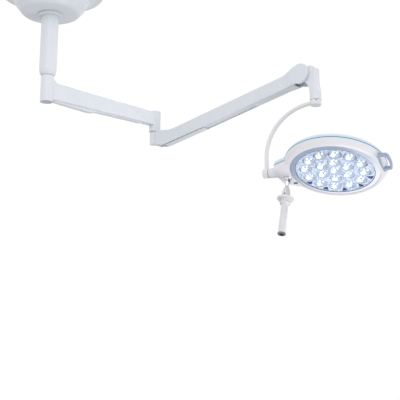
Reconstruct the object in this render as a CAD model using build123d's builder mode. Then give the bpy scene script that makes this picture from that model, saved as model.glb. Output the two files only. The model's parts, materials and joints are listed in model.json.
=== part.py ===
from build123d import *
import os
from math import cos, radians, sin, sqrt

os.makedirs("parts", exist_ok=True)

# Surgical light on a ceiling column: two-part swivel arm, quarter-circle yoke and round LED head.
# The origin is the centre of the ceiling plate's top face, +Z is up and +X runs along the
# extension arm. Each body below the column is drawn in a frame of its own, whose Z axis is its
# swivel axis or its back normal. Sizes are millimetres and degrees.

# ---- Driving dimensions ----
EXTENSION_LENGTH = 635.0      # column axis to elbow axis
SPRING_ARM_LENGTH = 876.0     # between the two pivots of the spring arm
SPRING_ARM_HEADING = -86.0    # plan angle of the spring arm from the extension arm
SPRING_ARM_LIFT = 9.15        # rise of the spring arm above level
YOKE_HEADING = -66.0          # plan angle of the lamp's tilt axis
LAMP_TILT = 19.3              # front face turned away from straight down
PIVOT_OFFSET = 50.0           # elbow axis to the spring arm's first pivot
PIVOT_DEPTH = 617.5           # first pivot below the ceiling
HEAD_OFFSET = 62.92           # second pivot to the yoke's swivel axis
HEAD_DROP = 124.6             # second pivot to the seam above the yoke
YOKE_RADIUS = 219.0           # centre line of the quarter bend
YOKE_DROP = 71.0              # straight tube below the bend
LAMP_REACH = 298.7            # yoke hub to lamp centre
FIT = 0.05                    # radial play of a running fit
GAP = 0.4                     # play between covers and moving neighbours

# ---- Ceiling unit ----
PLATE_R = 150.0
PLATE_T = 10.0
ANCHOR_PCD = 250.0
ANCHOR_HOLE_R = 6.5
FLANGE_R = 85.0
FLANGE_T = 12.0
FLANGE_PCD = 140.0
FLANGE_BOLT_R = 6.0
TUBE_R = 35.0
TUBE_BORE_R = 30.0
TUBE_END = -396.0
SLEEVE_R = 39.4
SLEEVE_WALL = 2.4
SLEEVE_TAPER = -398.0
SLEEVE_END = -426.0
CANOPY_R = 243.0
CANOPY_WAIST_R = 172.0
CANOPY_FLAT_R = 128.0
CANOPY_STEP = -38.0
CANOPY_BASE = -132.0
CANOPY_WALL = 3.0
COLLAR_R = 56.0
COLLAR_T = 12.0

# ---- Extension arm ----
HUB_R = 29.5
HUB_TOP = -427.0
HUB_BASE = -549.0
SPINDLE_R = 20.0
BUSH_R = 25.0
ARM_HALF_WIDTH = 19.0
ELBOW_HUB_R = 28.0
ELBOW_HUB_TOP = -459.0
ELBOW_HUB_BASE = -563.0
ELBOW_SPINDLE_R = 14.0
ELBOW_BUSH_R = 20.0
COVER_WALL = 2.6

# ---- Elbow ----
KNUCKLE_R = 23.5
KNUCKLE_TOP = -564.0
KNUCKLE_BASE = -627.0
EAR_HALF_WIDTH = 14.5
EAR_SLOT = 5.0
PIVOT_PIN_R = 6.0
ROD_DROP = 18.0               # parallel rod below, spring rod above each pivot
SMALL_PIN_R = 3.0

# ---- Spring arm, in its own frame ----
SHELL_HALF_WIDTH = 24.0
SHELL_WALL = 2.6
SHELL_TOP = 27.0
SHELL_BASE = -36.0
DISC_R = 45.0
DISC_HALF_WIDTH = 32.4
BEAM_HALF_WIDTH = 18.0
BEAM_WALL = 3.0

# ---- Yoke ----
YOKE_TUBE_R = 9.0
COLLAR_HEIGHT = 25.0
HEAD_SEAM_R = 24.6
BARREL_R = 21.0

# ---- Lamp head, heights along the back normal ----
FRONT = -18.0
FRONT_R = 195.5
SEAM = 9.0
RIM_R = 213.0
GLASS_R = 168.0
WINDOW_R = 164.0
HOUSING_WALL = 3.0
SOCKET_X = -210.0
SOCKET_Y = 22.0
LENS_R = 26.0


def heading(angle):
    """Unit vector at a plan angle."""
    return Vector(cos(radians(angle)), sin(radians(angle)), 0)


def moved(frame, x=0.0, y=0.0, z=0.0):
    """The same frame with its origin moved along its own axes."""
    return Plane(frame.from_local_coords((x, y, z)), x_dir=frame.x_dir, z_dir=frame.z_dir)


def upright(frame, y=0.0):
    """Lengthwise section plane of a frame: across is its X, up is its Z; faces its -Y."""
    return Plane(frame.from_local_coords((0, y, 0)), x_dir=frame.x_dir, z_dir=-frame.y_dir)


def square(frame, x=0.0):
    """Cross section plane of a frame: across is its Y, up is its Z; faces its +X."""
    return Plane(frame.from_local_coords((x, 0, 0)), x_dir=frame.y_dir, z_dir=frame.x_dir)


def crossways(frame, x=0.0, z=0.0):
    """Frame whose Z axis runs along another frame's Y, for pins that lie across it."""
    return Plane(frame.from_local_coords((x, 0, z)), x_dir=frame.x_dir, z_dir=frame.y_dir)


def lengthways(frame, y=0.0, z=0.0):
    """Frame whose Z axis runs along another frame's X."""
    return Plane(frame.from_local_coords((0, y, z)), x_dir=frame.y_dir, z_dir=frame.x_dir)


def outline(plane, *corners):
    """Face with straight sides through its corners."""
    with BuildSketch(plane) as face:
        with BuildLine():
            Polyline(*corners, close=True)
        make_face()
    return face.sketch


def turn(frame, *corners, mode=Mode.ADD):
    """Turned solid about a frame's Z axis from (radius, height) corners."""
    revolve(outline(upright(frame), *corners), axis=Axis(frame.origin, frame.z_dir), mode=mode)


def bar(frame, radius, start, end, mode=Mode.ADD):
    """Round bar along a frame's Z axis between two heights."""
    with BuildSketch(frame.offset(start)) as section:
        Circle(radius)
    extrude(section.sketch, amount=end - start, mode=mode)


def ring(frame, outer, inner, start, end, mode=Mode.ADD):
    """Round ring along a frame's Z axis between two heights."""
    with BuildSketch(frame.offset(start)) as section:
        Circle(outer)
        Circle(inner, mode=Mode.SUBTRACT)
    extrude(section.sketch, amount=end - start, mode=mode)


def block(frame, x, y, z, mode=Mode.ADD):
    """Box between two (low, high) pairs along each axis of a frame."""
    with BuildSketch(frame.offset(z[0])) as section:
        with Locations(((x[0] + x[1]) / 2, (y[0] + y[1]) / 2)):
            Rectangle(x[1] - x[0], y[1] - y[0])
    extrude(section.sketch, amount=z[1] - z[0], mode=mode)


def slab(plane, half_width, *corners, mode=Mode.ADD):
    """Straight-sided outline thickened equally to both sides of its plane."""
    extrude(outline(plane, *corners), amount=half_width, both=True, mode=mode)


# ---- Frames of the bodies ----
COLUMN = Plane.XY
ELBOW = Plane((EXTENSION_LENGTH, 0, 0), x_dir=heading(SPRING_ARM_HEADING), z_dir=(0, 0, 1))
KNUCKLE = moved(ELBOW, x=PIVOT_OFFSET, z=-PIVOT_DEPTH)
lift = radians(SPRING_ARM_LIFT)
along = heading(SPRING_ARM_HEADING)
SPRING_ARM = Plane(
    KNUCKLE.origin,
    x_dir=along * cos(lift) + Vector(0, 0, sin(lift)),
    z_dir=along * -sin(lift) + Vector(0, 0, cos(lift)),
)
HEAD_PIVOT = Plane(
    SPRING_ARM.from_local_coords((SPRING_ARM_LENGTH, 0, 0)), x_dir=along, z_dir=(0, 0, 1)
)
HEAD = moved(HEAD_PIVOT, x=HEAD_OFFSET)
YOKE = Plane(
    HEAD.from_local_coords((0, 0, -HEAD_DROP)), x_dir=heading(YOKE_HEADING), z_dir=(0, 0, 1)
)
YOKE_TUBE_Z = -11.0
YOKE_HUB = moved(YOKE, x=-YOKE_RADIUS, z=YOKE_TUBE_Z - YOKE_RADIUS - YOKE_DROP)
tilt = radians(LAMP_TILT)
LAMP = Plane(
    YOKE_HUB.from_local_coords((LAMP_REACH, 0, 0)),
    x_dir=YOKE.x_dir,
    z_dir=YOKE.y_dir * sin(tilt) + Vector(0, 0, cos(tilt)),
)
TILT_AXIS = lengthways(LAMP)
HANDLE = moved(LAMP, x=SOCKET_X, y=SOCKET_Y, z=FRONT)
ARM_WIDTH = Axis(SPRING_ARM.origin, SPRING_ARM.y_dir)
LAMP_LENGTH = Axis(LAMP.origin, LAMP.x_dir)

# ==== Ceiling unit ====
with BuildPart() as ceiling_plate:
    with BuildSketch(COLUMN.offset(-PLATE_T)):
        Circle(PLATE_R)
        Circle(TUBE_BORE_R - 5, mode=Mode.SUBTRACT)
        with PolarLocations(ANCHOR_PCD / 2, 6):
            Circle(ANCHOR_HOLE_R, mode=Mode.SUBTRACT)
        with PolarLocations(FLANGE_PCD / 2, 6, start_angle=30):
            Circle(FLANGE_BOLT_R, mode=Mode.SUBTRACT)
    extrude(amount=PLATE_T)
ceiling_plate.part.label = "ceiling_plate"
export_step(ceiling_plate.part, "parts/ceiling_plate.step")

FLANGE_BASE = -PLATE_T - FLANGE_T
with BuildPart() as ceiling_tube:
    with BuildSketch(COLUMN.offset(FLANGE_BASE)):
        Circle(FLANGE_R)
        with PolarLocations(FLANGE_PCD / 2, 6, start_angle=30):
            Circle(FLANGE_BOLT_R + FIT, mode=Mode.SUBTRACT)
    extrude(amount=FLANGE_T)
    bar(COLUMN, TUBE_R, TUBE_END, FLANGE_BASE)
    bar(COLUMN, TUBE_BORE_R, TUBE_END, 0, mode=Mode.SUBTRACT)
ceiling_tube.part.label = "ceiling_tube"
export_step(ceiling_tube.part, "parts/ceiling_tube.step")

BOLT_HEAD_T = 8.0
with BuildPart() as flange_bolts:
    with BuildSketch(COLUMN.offset(FLANGE_BASE)):
        with PolarLocations(FLANGE_PCD / 2, 6, start_angle=30):
            RegularPolygon(radius=10.5, side_count=6)
    extrude(amount=-BOLT_HEAD_T)
    with BuildSketch(COLUMN.offset(FLANGE_BASE)):
        with PolarLocations(FLANGE_PCD / 2, 6, start_angle=30):
            Circle(FLANGE_BOLT_R)
    extrude(amount=FLANGE_T + PLATE_T - 1)
flange_bolts.part.label = "flange_bolts"
export_step(flange_bolts.part, "parts/flange_bolts.step")

with BuildPart() as power_supply:
    block(COLUMN, (-45, 45), (96, 146), (-48, -PLATE_T))
    fillet(power_supply.edges().filter_by(Axis.Z), 4)
power_supply.part.label = "power_supply"
export_step(power_supply.part, "parts/power_supply.step")

# The canopy is a shallow drum with a bowl below it, spun from one sheet.
CANOPY_TOP = -2.0


def canopy_form(inset, top, mode=Mode.ADD):
    """Drum and bowl below the ceiling as one solid, drawn inward by an inset."""
    base = CANOPY_BASE + inset
    drum_r = CANOPY_R - inset
    with BuildSketch(Plane.XZ) as section:
        with BuildLine():
            FilletPolyline(
                (0, base),
                (CANOPY_FLAT_R - inset / 2, base),
                (CANOPY_WAIST_R - 12 - inset, -92 + inset / 2),
                (CANOPY_WAIST_R - inset, -56 + inset / 2),
                (CANOPY_WAIST_R + 34 - inset / 2, CANOPY_STEP + inset),
                (drum_r, CANOPY_STEP + 8 + inset),
                (drum_r, top),
                radius=(30 - inset, 45 - inset, 22 + inset, 40 - inset, 14 - inset),
            )
            Polyline((drum_r, top), (0, top), (0, base))
        make_face()
    revolve(section.sketch, axis=Axis.Z, mode=mode)


with BuildPart() as canopy:
    canopy_form(0, CANOPY_TOP)
    canopy_form(CANOPY_WALL, CANOPY_TOP + 1, mode=Mode.SUBTRACT)
    bar(COLUMN, SLEEVE_R + GAP, CANOPY_BASE - 1, CANOPY_BASE + 5, mode=Mode.SUBTRACT)
canopy.part.label = "canopy"
export_step(canopy.part, "parts/canopy.step")

COLLAR_TOP = CANOPY_BASE - GAP / 2
COLLAR_SCREW = Plane(
    (0, 0, COLLAR_TOP - COLLAR_T / 2), x_dir=(0, 0, 1), z_dir=heading(-144)
)
with BuildPart() as canopy_collar:
    ring(COLUMN, COLLAR_R, SLEEVE_R, COLLAR_TOP - COLLAR_T, COLLAR_TOP)
    fillet(canopy_collar.edges().filter_by(GeomType.CIRCLE).sort_by(SortBy.RADIUS)[-2:], 2)
    bar(COLLAR_SCREW, 3, SLEEVE_R - 1, COLLAR_R + 1, mode=Mode.SUBTRACT)
canopy_collar.part.label = "canopy_collar"
export_step(canopy_collar.part, "parts/canopy_collar.step")

with BuildPart() as collar_screw:
    bar(COLLAR_SCREW, 3, SLEEVE_R, COLLAR_R - 1)
    with BuildSketch(COLLAR_SCREW.offset(COLLAR_R - 1)):
        RegularPolygon(radius=1.7, side_count=6)
    extrude(amount=-3, mode=Mode.SUBTRACT)
collar_screw.part.label = "collar_screw"
export_step(collar_screw.part, "parts/collar_screw.step")

with BuildPart() as tube_sleeve:
    turn(
        COLUMN,
        (SLEEVE_R, -112),
        (SLEEVE_R, SLEEVE_TAPER),
        (SLEEVE_R - 0.8, SLEEVE_TAPER - 10),
        (SLEEVE_R - 3.6, SLEEVE_TAPER - 20),
        (HUB_R + 0.5, SLEEVE_END),
        (HUB_R - 2, SLEEVE_END),
        (SLEEVE_R - 6, SLEEVE_TAPER - 18),
        (SLEEVE_R - SLEEVE_WALL, SLEEVE_TAPER - 4),
        (SLEEVE_R - SLEEVE_WALL, -112),
    )
tube_sleeve.part.label = "tube_sleeve"
export_step(tube_sleeve.part, "parts/tube_sleeve.step")

NUT_TOP = -531.4
NUT_BASE = -541.0
CABLE_BORE_R = 8.0
with BuildPart() as hub_spindle:
    turn(
        COLUMN,
        (0, -330),
        (TUBE_BORE_R, -330),
        (TUBE_BORE_R, TUBE_END),
        (TUBE_BORE_R + 3, TUBE_END),
        (TUBE_BORE_R + 3, TUBE_END - 6),
        (SPINDLE_R, TUBE_END - 10),
        (SPINDLE_R, NUT_BASE),
        (0, NUT_BASE),
    )
    bar(COLUMN, CABLE_BORE_R, NUT_BASE, -330, mode=Mode.SUBTRACT)
hub_spindle.part.label = "hub_spindle"
export_step(hub_spindle.part, "parts/hub_spindle.step")

with BuildPart() as hub_nut:
    with BuildSketch(COLUMN.offset(NUT_BASE)):
        RegularPolygon(radius=24.4, side_count=8)
        Circle(SPINDLE_R, mode=Mode.SUBTRACT)
    extrude(amount=NUT_TOP - NUT_BASE)
hub_nut.part.label = "hub_nut"
export_step(hub_nut.part, "parts/hub_nut.step")

# ==== Extension arm ====
# A die-cast channel, open below, with a hub at each end. The end cover clips over its narrower
# outer end, so the two meet flush along a slanting seam.
SEAM_TOP_X = 424.0
SEAM_BASE_X = 579.0
CHANNEL_END = 545.0
ARM_TOP = -455.0
ARM_TIP_TOP = -467.0
ARM_BASE = -537.0
ARM_TIP_BASE = -530.0
COVER_SCREW_X = 562.0


def arm_top(x):
    """Height of the extension arm's top edge."""
    return ARM_TOP + (ARM_TIP_TOP - ARM_TOP) * x / EXTENSION_LENGTH


def arm_base(x):
    """Height of the extension arm's bottom edge."""
    return ARM_BASE + (ARM_TIP_BASE - ARM_BASE) * x / EXTENSION_LENGTH


CORE_HALF_WIDTH = ARM_HALF_WIDTH - COVER_WALL - GAP
ELBOW_CORE_R = ELBOW_HUB_R - COVER_WALL - GAP
with BuildPart() as extension_arm:
    slab(
        upright(COLUMN),
        ARM_HALF_WIDTH,
        (10, ARM_TOP + 13),
        (HUB_R, ARM_TOP + 10),
        (HUB_R + 7, ARM_TOP + 3),
        (HUB_R + 17, arm_top(46)),
        (SEAM_TOP_X, arm_top(SEAM_TOP_X)),
        (SEAM_BASE_X, arm_base(SEAM_BASE_X)),
        (10, ARM_BASE),
    )
    fillet(extension_arm.edges().sort_by(SortBy.LENGTH)[-4:], 5)
    slab(
        upright(COLUMN),
        CORE_HALF_WIDTH,
        (SEAM_TOP_X - 20, ARM_TIP_TOP - 1),
        (EXTENSION_LENGTH, ARM_TIP_TOP - 3),
        (EXTENSION_LENGTH, ARM_TIP_BASE + 3),
        (SEAM_BASE_X - 20, ARM_TIP_BASE + 3),
        (SEAM_TOP_X - 20, ARM_TIP_BASE + 3),
    )
    bar(COLUMN, HUB_R, HUB_BASE, HUB_TOP)
    bar(ELBOW, ELBOW_CORE_R, ELBOW_HUB_BASE + GAP, ARM_TIP_TOP + 3)
    chamfer(extension_arm.faces().sort_by(Axis.Z)[-1].edges(), 1.5)
    bar(COLUMN, BUSH_R, HUB_BASE, HUB_TOP, mode=Mode.SUBTRACT)
    bar(COLUMN, BUSH_R + 1.5, HUB_BASE, HUB_BASE + 6.4, mode=Mode.SUBTRACT)
    bar(ELBOW, ELBOW_BUSH_R, ELBOW_HUB_BASE, ARM_TIP_TOP + 3, mode=Mode.SUBTRACT)
    block(COLUMN, (34, CHANNEL_END), (-13, 13), (-600, ARM_TIP_TOP - 5), mode=Mode.SUBTRACT)
    bar(lengthways(COLUMN, z=-500), 6, 20, 40, mode=Mode.SUBTRACT)
    bar(lengthways(COLUMN, z=-500), 6, CHANNEL_END - 5, 620, mode=Mode.SUBTRACT)
    bar(moved(COLUMN, x=COVER_SCREW_X), 3, -560, -515, mode=Mode.SUBTRACT)
extension_arm.part.label = "extension_arm"
export_step(extension_arm.part, "parts/extension_arm.step")

with BuildPart() as hub_bushes:
    ring(COLUMN, BUSH_R, SPINDLE_R + FIT, -453, HUB_TOP - 1)
    ring(COLUMN, BUSH_R, SPINDLE_R + FIT, NUT_TOP + GAP, -506)
hub_bushes.part.label = "hub_bushes"
export_step(hub_bushes.part, "parts/hub_bushes.step")

with BuildPart() as hub_cap:
    bar(COLUMN, BUSH_R + 1.3, HUB_BASE + 2.4, HUB_BASE + 6)
    chamfer(hub_cap.faces().sort_by(Axis.Z)[0].edges(), 1)
hub_cap.part.label = "hub_cap"
export_step(hub_cap.part, "parts/hub_cap.step")

with BuildPart() as cable_cover:
    slab(
        upright(COLUMN),
        12.6,
        (34.5, -532),
        (CHANNEL_END - 1, -527),
        (CHANNEL_END - 1, -535),
        (CHANNEL_END - 6, -536),
        (276, -540),
        (262, -543),
        (246, -548),
        (228, -549.5),
        (42, -543),
        (34.5, -539),
    )
cable_cover.part.label = "cable_cover"
export_step(cable_cover.part, "parts/cable_cover.step")

with BuildPart() as cover_screw:
    turn(
        moved(COLUMN, x=COVER_SCREW_X),
        (0, -517),
        (3, -517),
        (3, arm_base(COVER_SCREW_X - 7)),
        (7, arm_base(COVER_SCREW_X - 7)),
        (6.4, arm_base(COVER_SCREW_X) - 4),
        (4.5, arm_base(COVER_SCREW_X) - 6),
        (0, arm_base(COVER_SCREW_X) - 6.5),
    )
cover_screw.part.label = "cover_screw"
export_step(cover_screw.part, "parts/cover_screw.step")

with BuildPart() as end_cover:
    slab(
        upright(COLUMN),
        ARM_HALF_WIDTH,
        (SEAM_TOP_X + 0.5, arm_top(SEAM_TOP_X)),
        (EXTENSION_LENGTH, ARM_TIP_TOP),
        (EXTENSION_LENGTH, ARM_TIP_BASE),
        (SEAM_BASE_X + 0.5, arm_base(SEAM_BASE_X)),
    )
    bar(ELBOW, ELBOW_HUB_R, ELBOW_HUB_BASE, ELBOW_HUB_TOP)
    chamfer(end_cover.faces().sort_by(Axis.Z)[-1].edges(), 2)
    slab(
        upright(COLUMN),
        ARM_HALF_WIDTH - COVER_WALL,
        (SEAM_TOP_X - 30, ARM_TIP_TOP - COVER_WALL + 1.8),
        (EXTENSION_LENGTH, ARM_TIP_TOP - COVER_WALL),
        (EXTENSION_LENGTH, ARM_TIP_BASE + COVER_WALL),
        (SEAM_TOP_X - 30, ARM_TIP_BASE + COVER_WALL),
        mode=Mode.SUBTRACT,
    )
    bar(ELBOW, ELBOW_HUB_R - COVER_WALL, ELBOW_HUB_BASE, ELBOW_HUB_TOP - 3, mode=Mode.SUBTRACT)
end_cover.part.label = "end_cover"
export_step(end_cover.part, "parts/end_cover.step")

ELBOW_NUT_TOP = -467.0
with BuildPart() as elbow_bushes:
    ring(ELBOW, ELBOW_BUSH_R, ELBOW_SPINDLE_R + FIT, -492, -473.4)
    ring(ELBOW, ELBOW_BUSH_R, ELBOW_SPINDLE_R + FIT, -560, -540)
elbow_bushes.part.label = "elbow_bushes"
export_step(elbow_bushes.part, "parts/elbow_bushes.step")

# ==== Elbow ====
# Two ears reach forward from a round post. Between them lie the ends of the parallel rod and of
# the spring rod, each on a small pin below and above the main pivot.
with BuildPart() as elbow_knuckle:
    bar(ELBOW, KNUCKLE_R, KNUCKLE_BASE, KNUCKLE_TOP)
    chamfer(elbow_knuckle.edges().filter_by(GeomType.CIRCLE), 1.5)
    slab(
        upright(KNUCKLE),
        EAR_HALF_WIDTH,
        (-PIVOT_OFFSET, 51),
        (-18, 51),
        (-4, 42),
        (13, 26),
        (14, -8),
        (8, -26),
        (-8, -27),
        (-PIVOT_OFFSET, -9.5),
    )
    block(KNUCKLE, (-30, 20), (-EAR_SLOT, EAR_SLOT), (-30, 60), mode=Mode.SUBTRACT)
    bar(crossways(KNUCKLE), PIVOT_PIN_R, -30, 30, mode=Mode.SUBTRACT)
    bar(crossways(KNUCKLE, z=ROD_DROP), SMALL_PIN_R, -30, 30, mode=Mode.SUBTRACT)
    bar(crossways(KNUCKLE, z=-ROD_DROP), SMALL_PIN_R, -30, 30, mode=Mode.SUBTRACT)
    bar(ELBOW, ELBOW_SPINDLE_R, -600, KNUCKLE_TOP, mode=Mode.SUBTRACT)
elbow_knuckle.part.label = "elbow_knuckle"
export_step(elbow_knuckle.part, "parts/elbow_knuckle.step")

with BuildPart() as elbow_spindle:
    ring(ELBOW, ELBOW_SPINDLE_R, 6, -600, ELBOW_NUT_TOP)
elbow_spindle.part.label = "elbow_spindle"
export_step(elbow_spindle.part, "parts/elbow_spindle.step")

with BuildPart() as elbow_nut:
    with BuildSketch(ELBOW.offset(-473)):
        RegularPolygon(radius=19.4, side_count=8)
        Circle(ELBOW_SPINDLE_R, mode=Mode.SUBTRACT)
    extrude(amount=6)
elbow_nut.part.label = "elbow_nut"
export_step(elbow_nut.part, "parts/elbow_nut.step")

PIVOT_PIN_HALF = 19.0
with BuildPart() as elbow_pins:
    bar(crossways(KNUCKLE), PIVOT_PIN_R, -PIVOT_PIN_HALF, PIVOT_PIN_HALF)
    for height in (ROD_DROP, -ROD_DROP):
        bar(crossways(KNUCKLE, z=height), SMALL_PIN_R, -EAR_HALF_WIDTH, EAR_HALF_WIDTH)
elbow_pins.part.label = "elbow_pins"
export_step(elbow_pins.part, "parts/elbow_pins.step")

# ==== Spring arm ====
PLATE_IN = BEAM_HALF_WIDTH - BEAM_WALL
BEAM_TOP = 20.0
BEAM_BASE = -14.0
BEAM_START = 62.0
BEAM_END = SPRING_ARM_LENGTH - 75
SPRING_AXIS = 4.5
SPRING_START = 72.0
ARM_BUSH_R = 9.0
with BuildPart() as arm_beam:
    block(SPRING_ARM, (BEAM_START, BEAM_END), (-PLATE_IN, PLATE_IN), (BEAM_TOP - BEAM_WALL, BEAM_TOP))
    block(SPRING_ARM, (SPRING_START - 6, SPRING_START), (-PLATE_IN, PLATE_IN), (-8, BEAM_TOP))
    for side in (-BEAM_HALF_WIDTH, PLATE_IN):
        plate = upright(SPRING_ARM, y=side + BEAM_WALL)
        with BuildSketch(plate):
            with BuildLine():
                Polyline(
                    (0, -12),
                    (BEAM_START, BEAM_BASE),
                    (BEAM_END, BEAM_BASE),
                    (SPRING_ARM_LENGTH, -17),
                    (SPRING_ARM_LENGTH, 17),
                    (BEAM_END, BEAM_TOP),
                    (BEAM_START, BEAM_TOP),
                    (0, 12),
                    close=True,
                )
            make_face()
            Circle(12)
            with Locations((SPRING_ARM_LENGTH, 0)):
                Circle(17)
            with Locations((0, 0), (SPRING_ARM_LENGTH, 0)):
                Circle(ARM_BUSH_R, mode=Mode.SUBTRACT)
        extrude(amount=BEAM_WALL)
    bar(lengthways(SPRING_ARM, z=SPRING_AXIS), 6, BEAM_START, SPRING_START, mode=Mode.SUBTRACT)
arm_beam.part.label = "arm_beam"
export_step(arm_beam.part, "parts/arm_beam.step")

with BuildPart() as arm_bushes:
    for x in (0, SPRING_ARM_LENGTH):
        for side in (-BEAM_HALF_WIDTH, PLATE_IN):
            ring(crossways(SPRING_ARM, x=x), ARM_BUSH_R, PIVOT_PIN_R + FIT, side, side + BEAM_WALL)
arm_bushes.part.label = "arm_bushes"
export_step(arm_bushes.part, "parts/arm_bushes.step")

STRIP_END = 290.0
ROOF_START = 68.0
ROOF_END = SPRING_ARM_LENGTH - 26
SHELL_SPLIT = 0.15
for side, name in ((1, "left_shell"), (-1, "right_shell")):
    near = (SHELL_HALF_WIDTH - SHELL_WALL) * side
    outer = SHELL_HALF_WIDTH * side
    with BuildPart() as shell:
        with BuildSketch(upright(SPRING_ARM, y=max(near, outer))):
            with BuildLine():
                Polyline(
                    (-10, 55),
                    (-22, -16),
                    (23, -32),
                    (STRIP_END, -35.5),
                    (SPRING_ARM_LENGTH - 40, SHELL_BASE),
                    (SPRING_ARM_LENGTH, -DISC_R),
                )
                ThreePointArc(
                    (SPRING_ARM_LENGTH, -DISC_R),
                    (SPRING_ARM_LENGTH + DISC_R, 0),
                    (SPRING_ARM_LENGTH, DISC_R),
                )
                rise = Spline(
                    (SPRING_ARM_LENGTH, DISC_R),
                    (SPRING_ARM_LENGTH - 32, 35),
                    (SPRING_ARM_LENGTH - 95, SHELL_TOP),
                    tangents=((-1, 0), (-1, 0)),
                )
                Polyline(rise @ 1, (112, SHELL_TOP), (80, 29), (-10, 55))
            make_face()
        extrude(amount=SHELL_WALL)
        block(
            SPRING_ARM,
            (ROOF_START, SPRING_ARM_LENGTH - 95),
            sorted((SHELL_SPLIT * side, outer)),
            (SHELL_TOP - SHELL_WALL, SHELL_TOP),
        )
        with BuildSketch(upright(SPRING_ARM, y=max(SHELL_SPLIT * side, near))):
            with BuildLine():
                top = Spline(
                    (ROOF_END, 38),
                    (SPRING_ARM_LENGTH - 45, 31.5),
                    (SPRING_ARM_LENGTH - 96, SHELL_TOP),
                    tangents=((-1, -0.55), (-1, 0)),
                )
                Polyline(top @ 1, (SPRING_ARM_LENGTH - 96, SHELL_TOP - SHELL_WALL))
                under = Spline(
                    (SPRING_ARM_LENGTH - 96, SHELL_TOP - SHELL_WALL),
                    (SPRING_ARM_LENGTH - 45, 31.5 - SHELL_WALL),
                    (ROOF_END, 38 - SHELL_WALL),
                    tangents=((1, 0), (1, 0.55)),
                )
                Line(under @ 1, top @ 0)
            make_face()
        extrude(amount=abs(near) - SHELL_SPLIT)
    shell.part.label = name
    export_step(shell.part, f"parts/{name}.step")

STEP_X = 600.0
COVER_END = SPRING_ARM_LENGTH - 42
COVER_HALF_WIDTH = SHELL_HALF_WIDTH - SHELL_WALL - 0.3
with BuildPart() as under_cover:
    slab(
        upright(SPRING_ARM),
        COVER_HALF_WIDTH,
        (STRIP_END + 1, -27),
        (STEP_X - 20, -27),
        (STEP_X + 4, -33),
        (COVER_END, -33),
        (COVER_END, -36.5),
        (STEP_X - 2, -36.5),
        (STEP_X - 20, -30),
        (STRIP_END + 1, -30),
    )
under_cover.part.label = "under_cover"
export_step(under_cover.part, "parts/under_cover.step")

STRIP_SCREW_X = 52.0
with BuildPart() as cable_strip:
    slab(
        upright(SPRING_ARM),
        16,
        (32, -28.5),
        (STRIP_END, -28.5),
        (STRIP_END, -37),
        (STRIP_END - 8, -39.5),
        (44, -38),
        (34, -35.5),
        (32, -33),
    )
    fillet(cable_strip.edges().sort_by(SortBy.LENGTH)[-4:-2], 2)
    bar(moved(SPRING_ARM, x=STRIP_SCREW_X), 2.5, -60, -20, mode=Mode.SUBTRACT)
    bar(moved(SPRING_ARM, x=STRIP_SCREW_X), 8.3, -60, -38.2, mode=Mode.SUBTRACT)
cable_strip.part.label = "cable_strip"
export_step(cable_strip.part, "parts/cable_strip.step")

with BuildPart() as strip_screw:
    turn(
        moved(SPRING_ARM, x=STRIP_SCREW_X),
        (0, -29),
        (2.5, -29),
        (2.5, -38.2),
        (8, -38.2),
        (7, -42),
        (4, -43.5),
        (0, -43.8),
    )
strip_screw.part.label = "strip_screw"
export_step(strip_screw.part, "parts/strip_screw.step")

with BuildPart() as disc_caps:
    for side in (-DISC_HALF_WIDTH, SHELL_HALF_WIDTH):
        bar(
            crossways(SPRING_ARM, x=SPRING_ARM_LENGTH),
            DISC_R,
            side,
            side + DISC_HALF_WIDTH - SHELL_HALF_WIDTH,
        )
    rims = disc_caps.edges().filter_by(GeomType.CIRCLE).group_by(ARM_WIDTH)
    fillet(rims[0] + rims[-1], 3)
disc_caps.part.label = "disc_caps"
export_step(disc_caps.part, "parts/disc_caps.step")

WIRE_R = 1.3
SPRING_MEAN_R = 10.7
SPRING_LENGTH = 178.0
SPRING_TURNS = 18
SPRING_FRAME = moved(lengthways(SPRING_ARM, z=SPRING_AXIS), z=SPRING_START + WIRE_R)
with BuildPart() as arm_spring:
    with BuildLine() as coil:
        Helix(
            pitch=(SPRING_LENGTH - 2 * WIRE_R) / SPRING_TURNS,
            height=SPRING_LENGTH - 2 * WIRE_R,
            radius=SPRING_MEAN_R,
            center=SPRING_FRAME.origin,
            direction=SPRING_FRAME.z_dir,
        )
    with BuildSketch(Plane(coil.line @ 0, z_dir=coil.line % 0)):
        Circle(WIRE_R)
    sweep(path=coil.line, is_frenet=True)
arm_spring.part.label = "arm_spring"
export_step(arm_spring.part, "parts/arm_spring.step")

# ==== Spring rod ====
# The eye's slot is longer than the pin needs, so the rod can run straight while the pin swings.
EYE_X = ROD_DROP * sin(lift)
ROD_END = SPRING_START + SPRING_LENGTH + 18
with BuildPart() as spring_rod:
    block(SPRING_ARM, (EYE_X - 9, 40), (-4, 4), (7, 26))
    block(SPRING_ARM, (27, 40), (-4, 4), (SPRING_AXIS - 4, 10))
    block(SPRING_ARM, (EYE_X - 4.8, EYE_X + 4.8), (-4, 4), (9.1, 22), mode=Mode.SUBTRACT)
    bar(lengthways(SPRING_ARM, z=SPRING_AXIS), 4, 38, ROD_END)
spring_rod.part.label = "spring_rod"
export_step(spring_rod.part, "parts/spring_rod.step")

SEAT_X = SPRING_START + SPRING_LENGTH
with BuildPart() as spring_seat:
    ring(lengthways(SPRING_ARM, z=SPRING_AXIS), 12, 4, SEAT_X, SEAT_X + 4)
    with BuildSketch(square(SPRING_ARM, x=SEAT_X + 4)):
        with Locations((0, SPRING_AXIS)):
            RegularPolygon(radius=8, side_count=6)
            Circle(4, mode=Mode.SUBTRACT)
    extrude(amount=8)
spring_seat.part.label = "spring_seat"
export_step(spring_seat.part, "parts/spring_seat.step")

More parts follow.
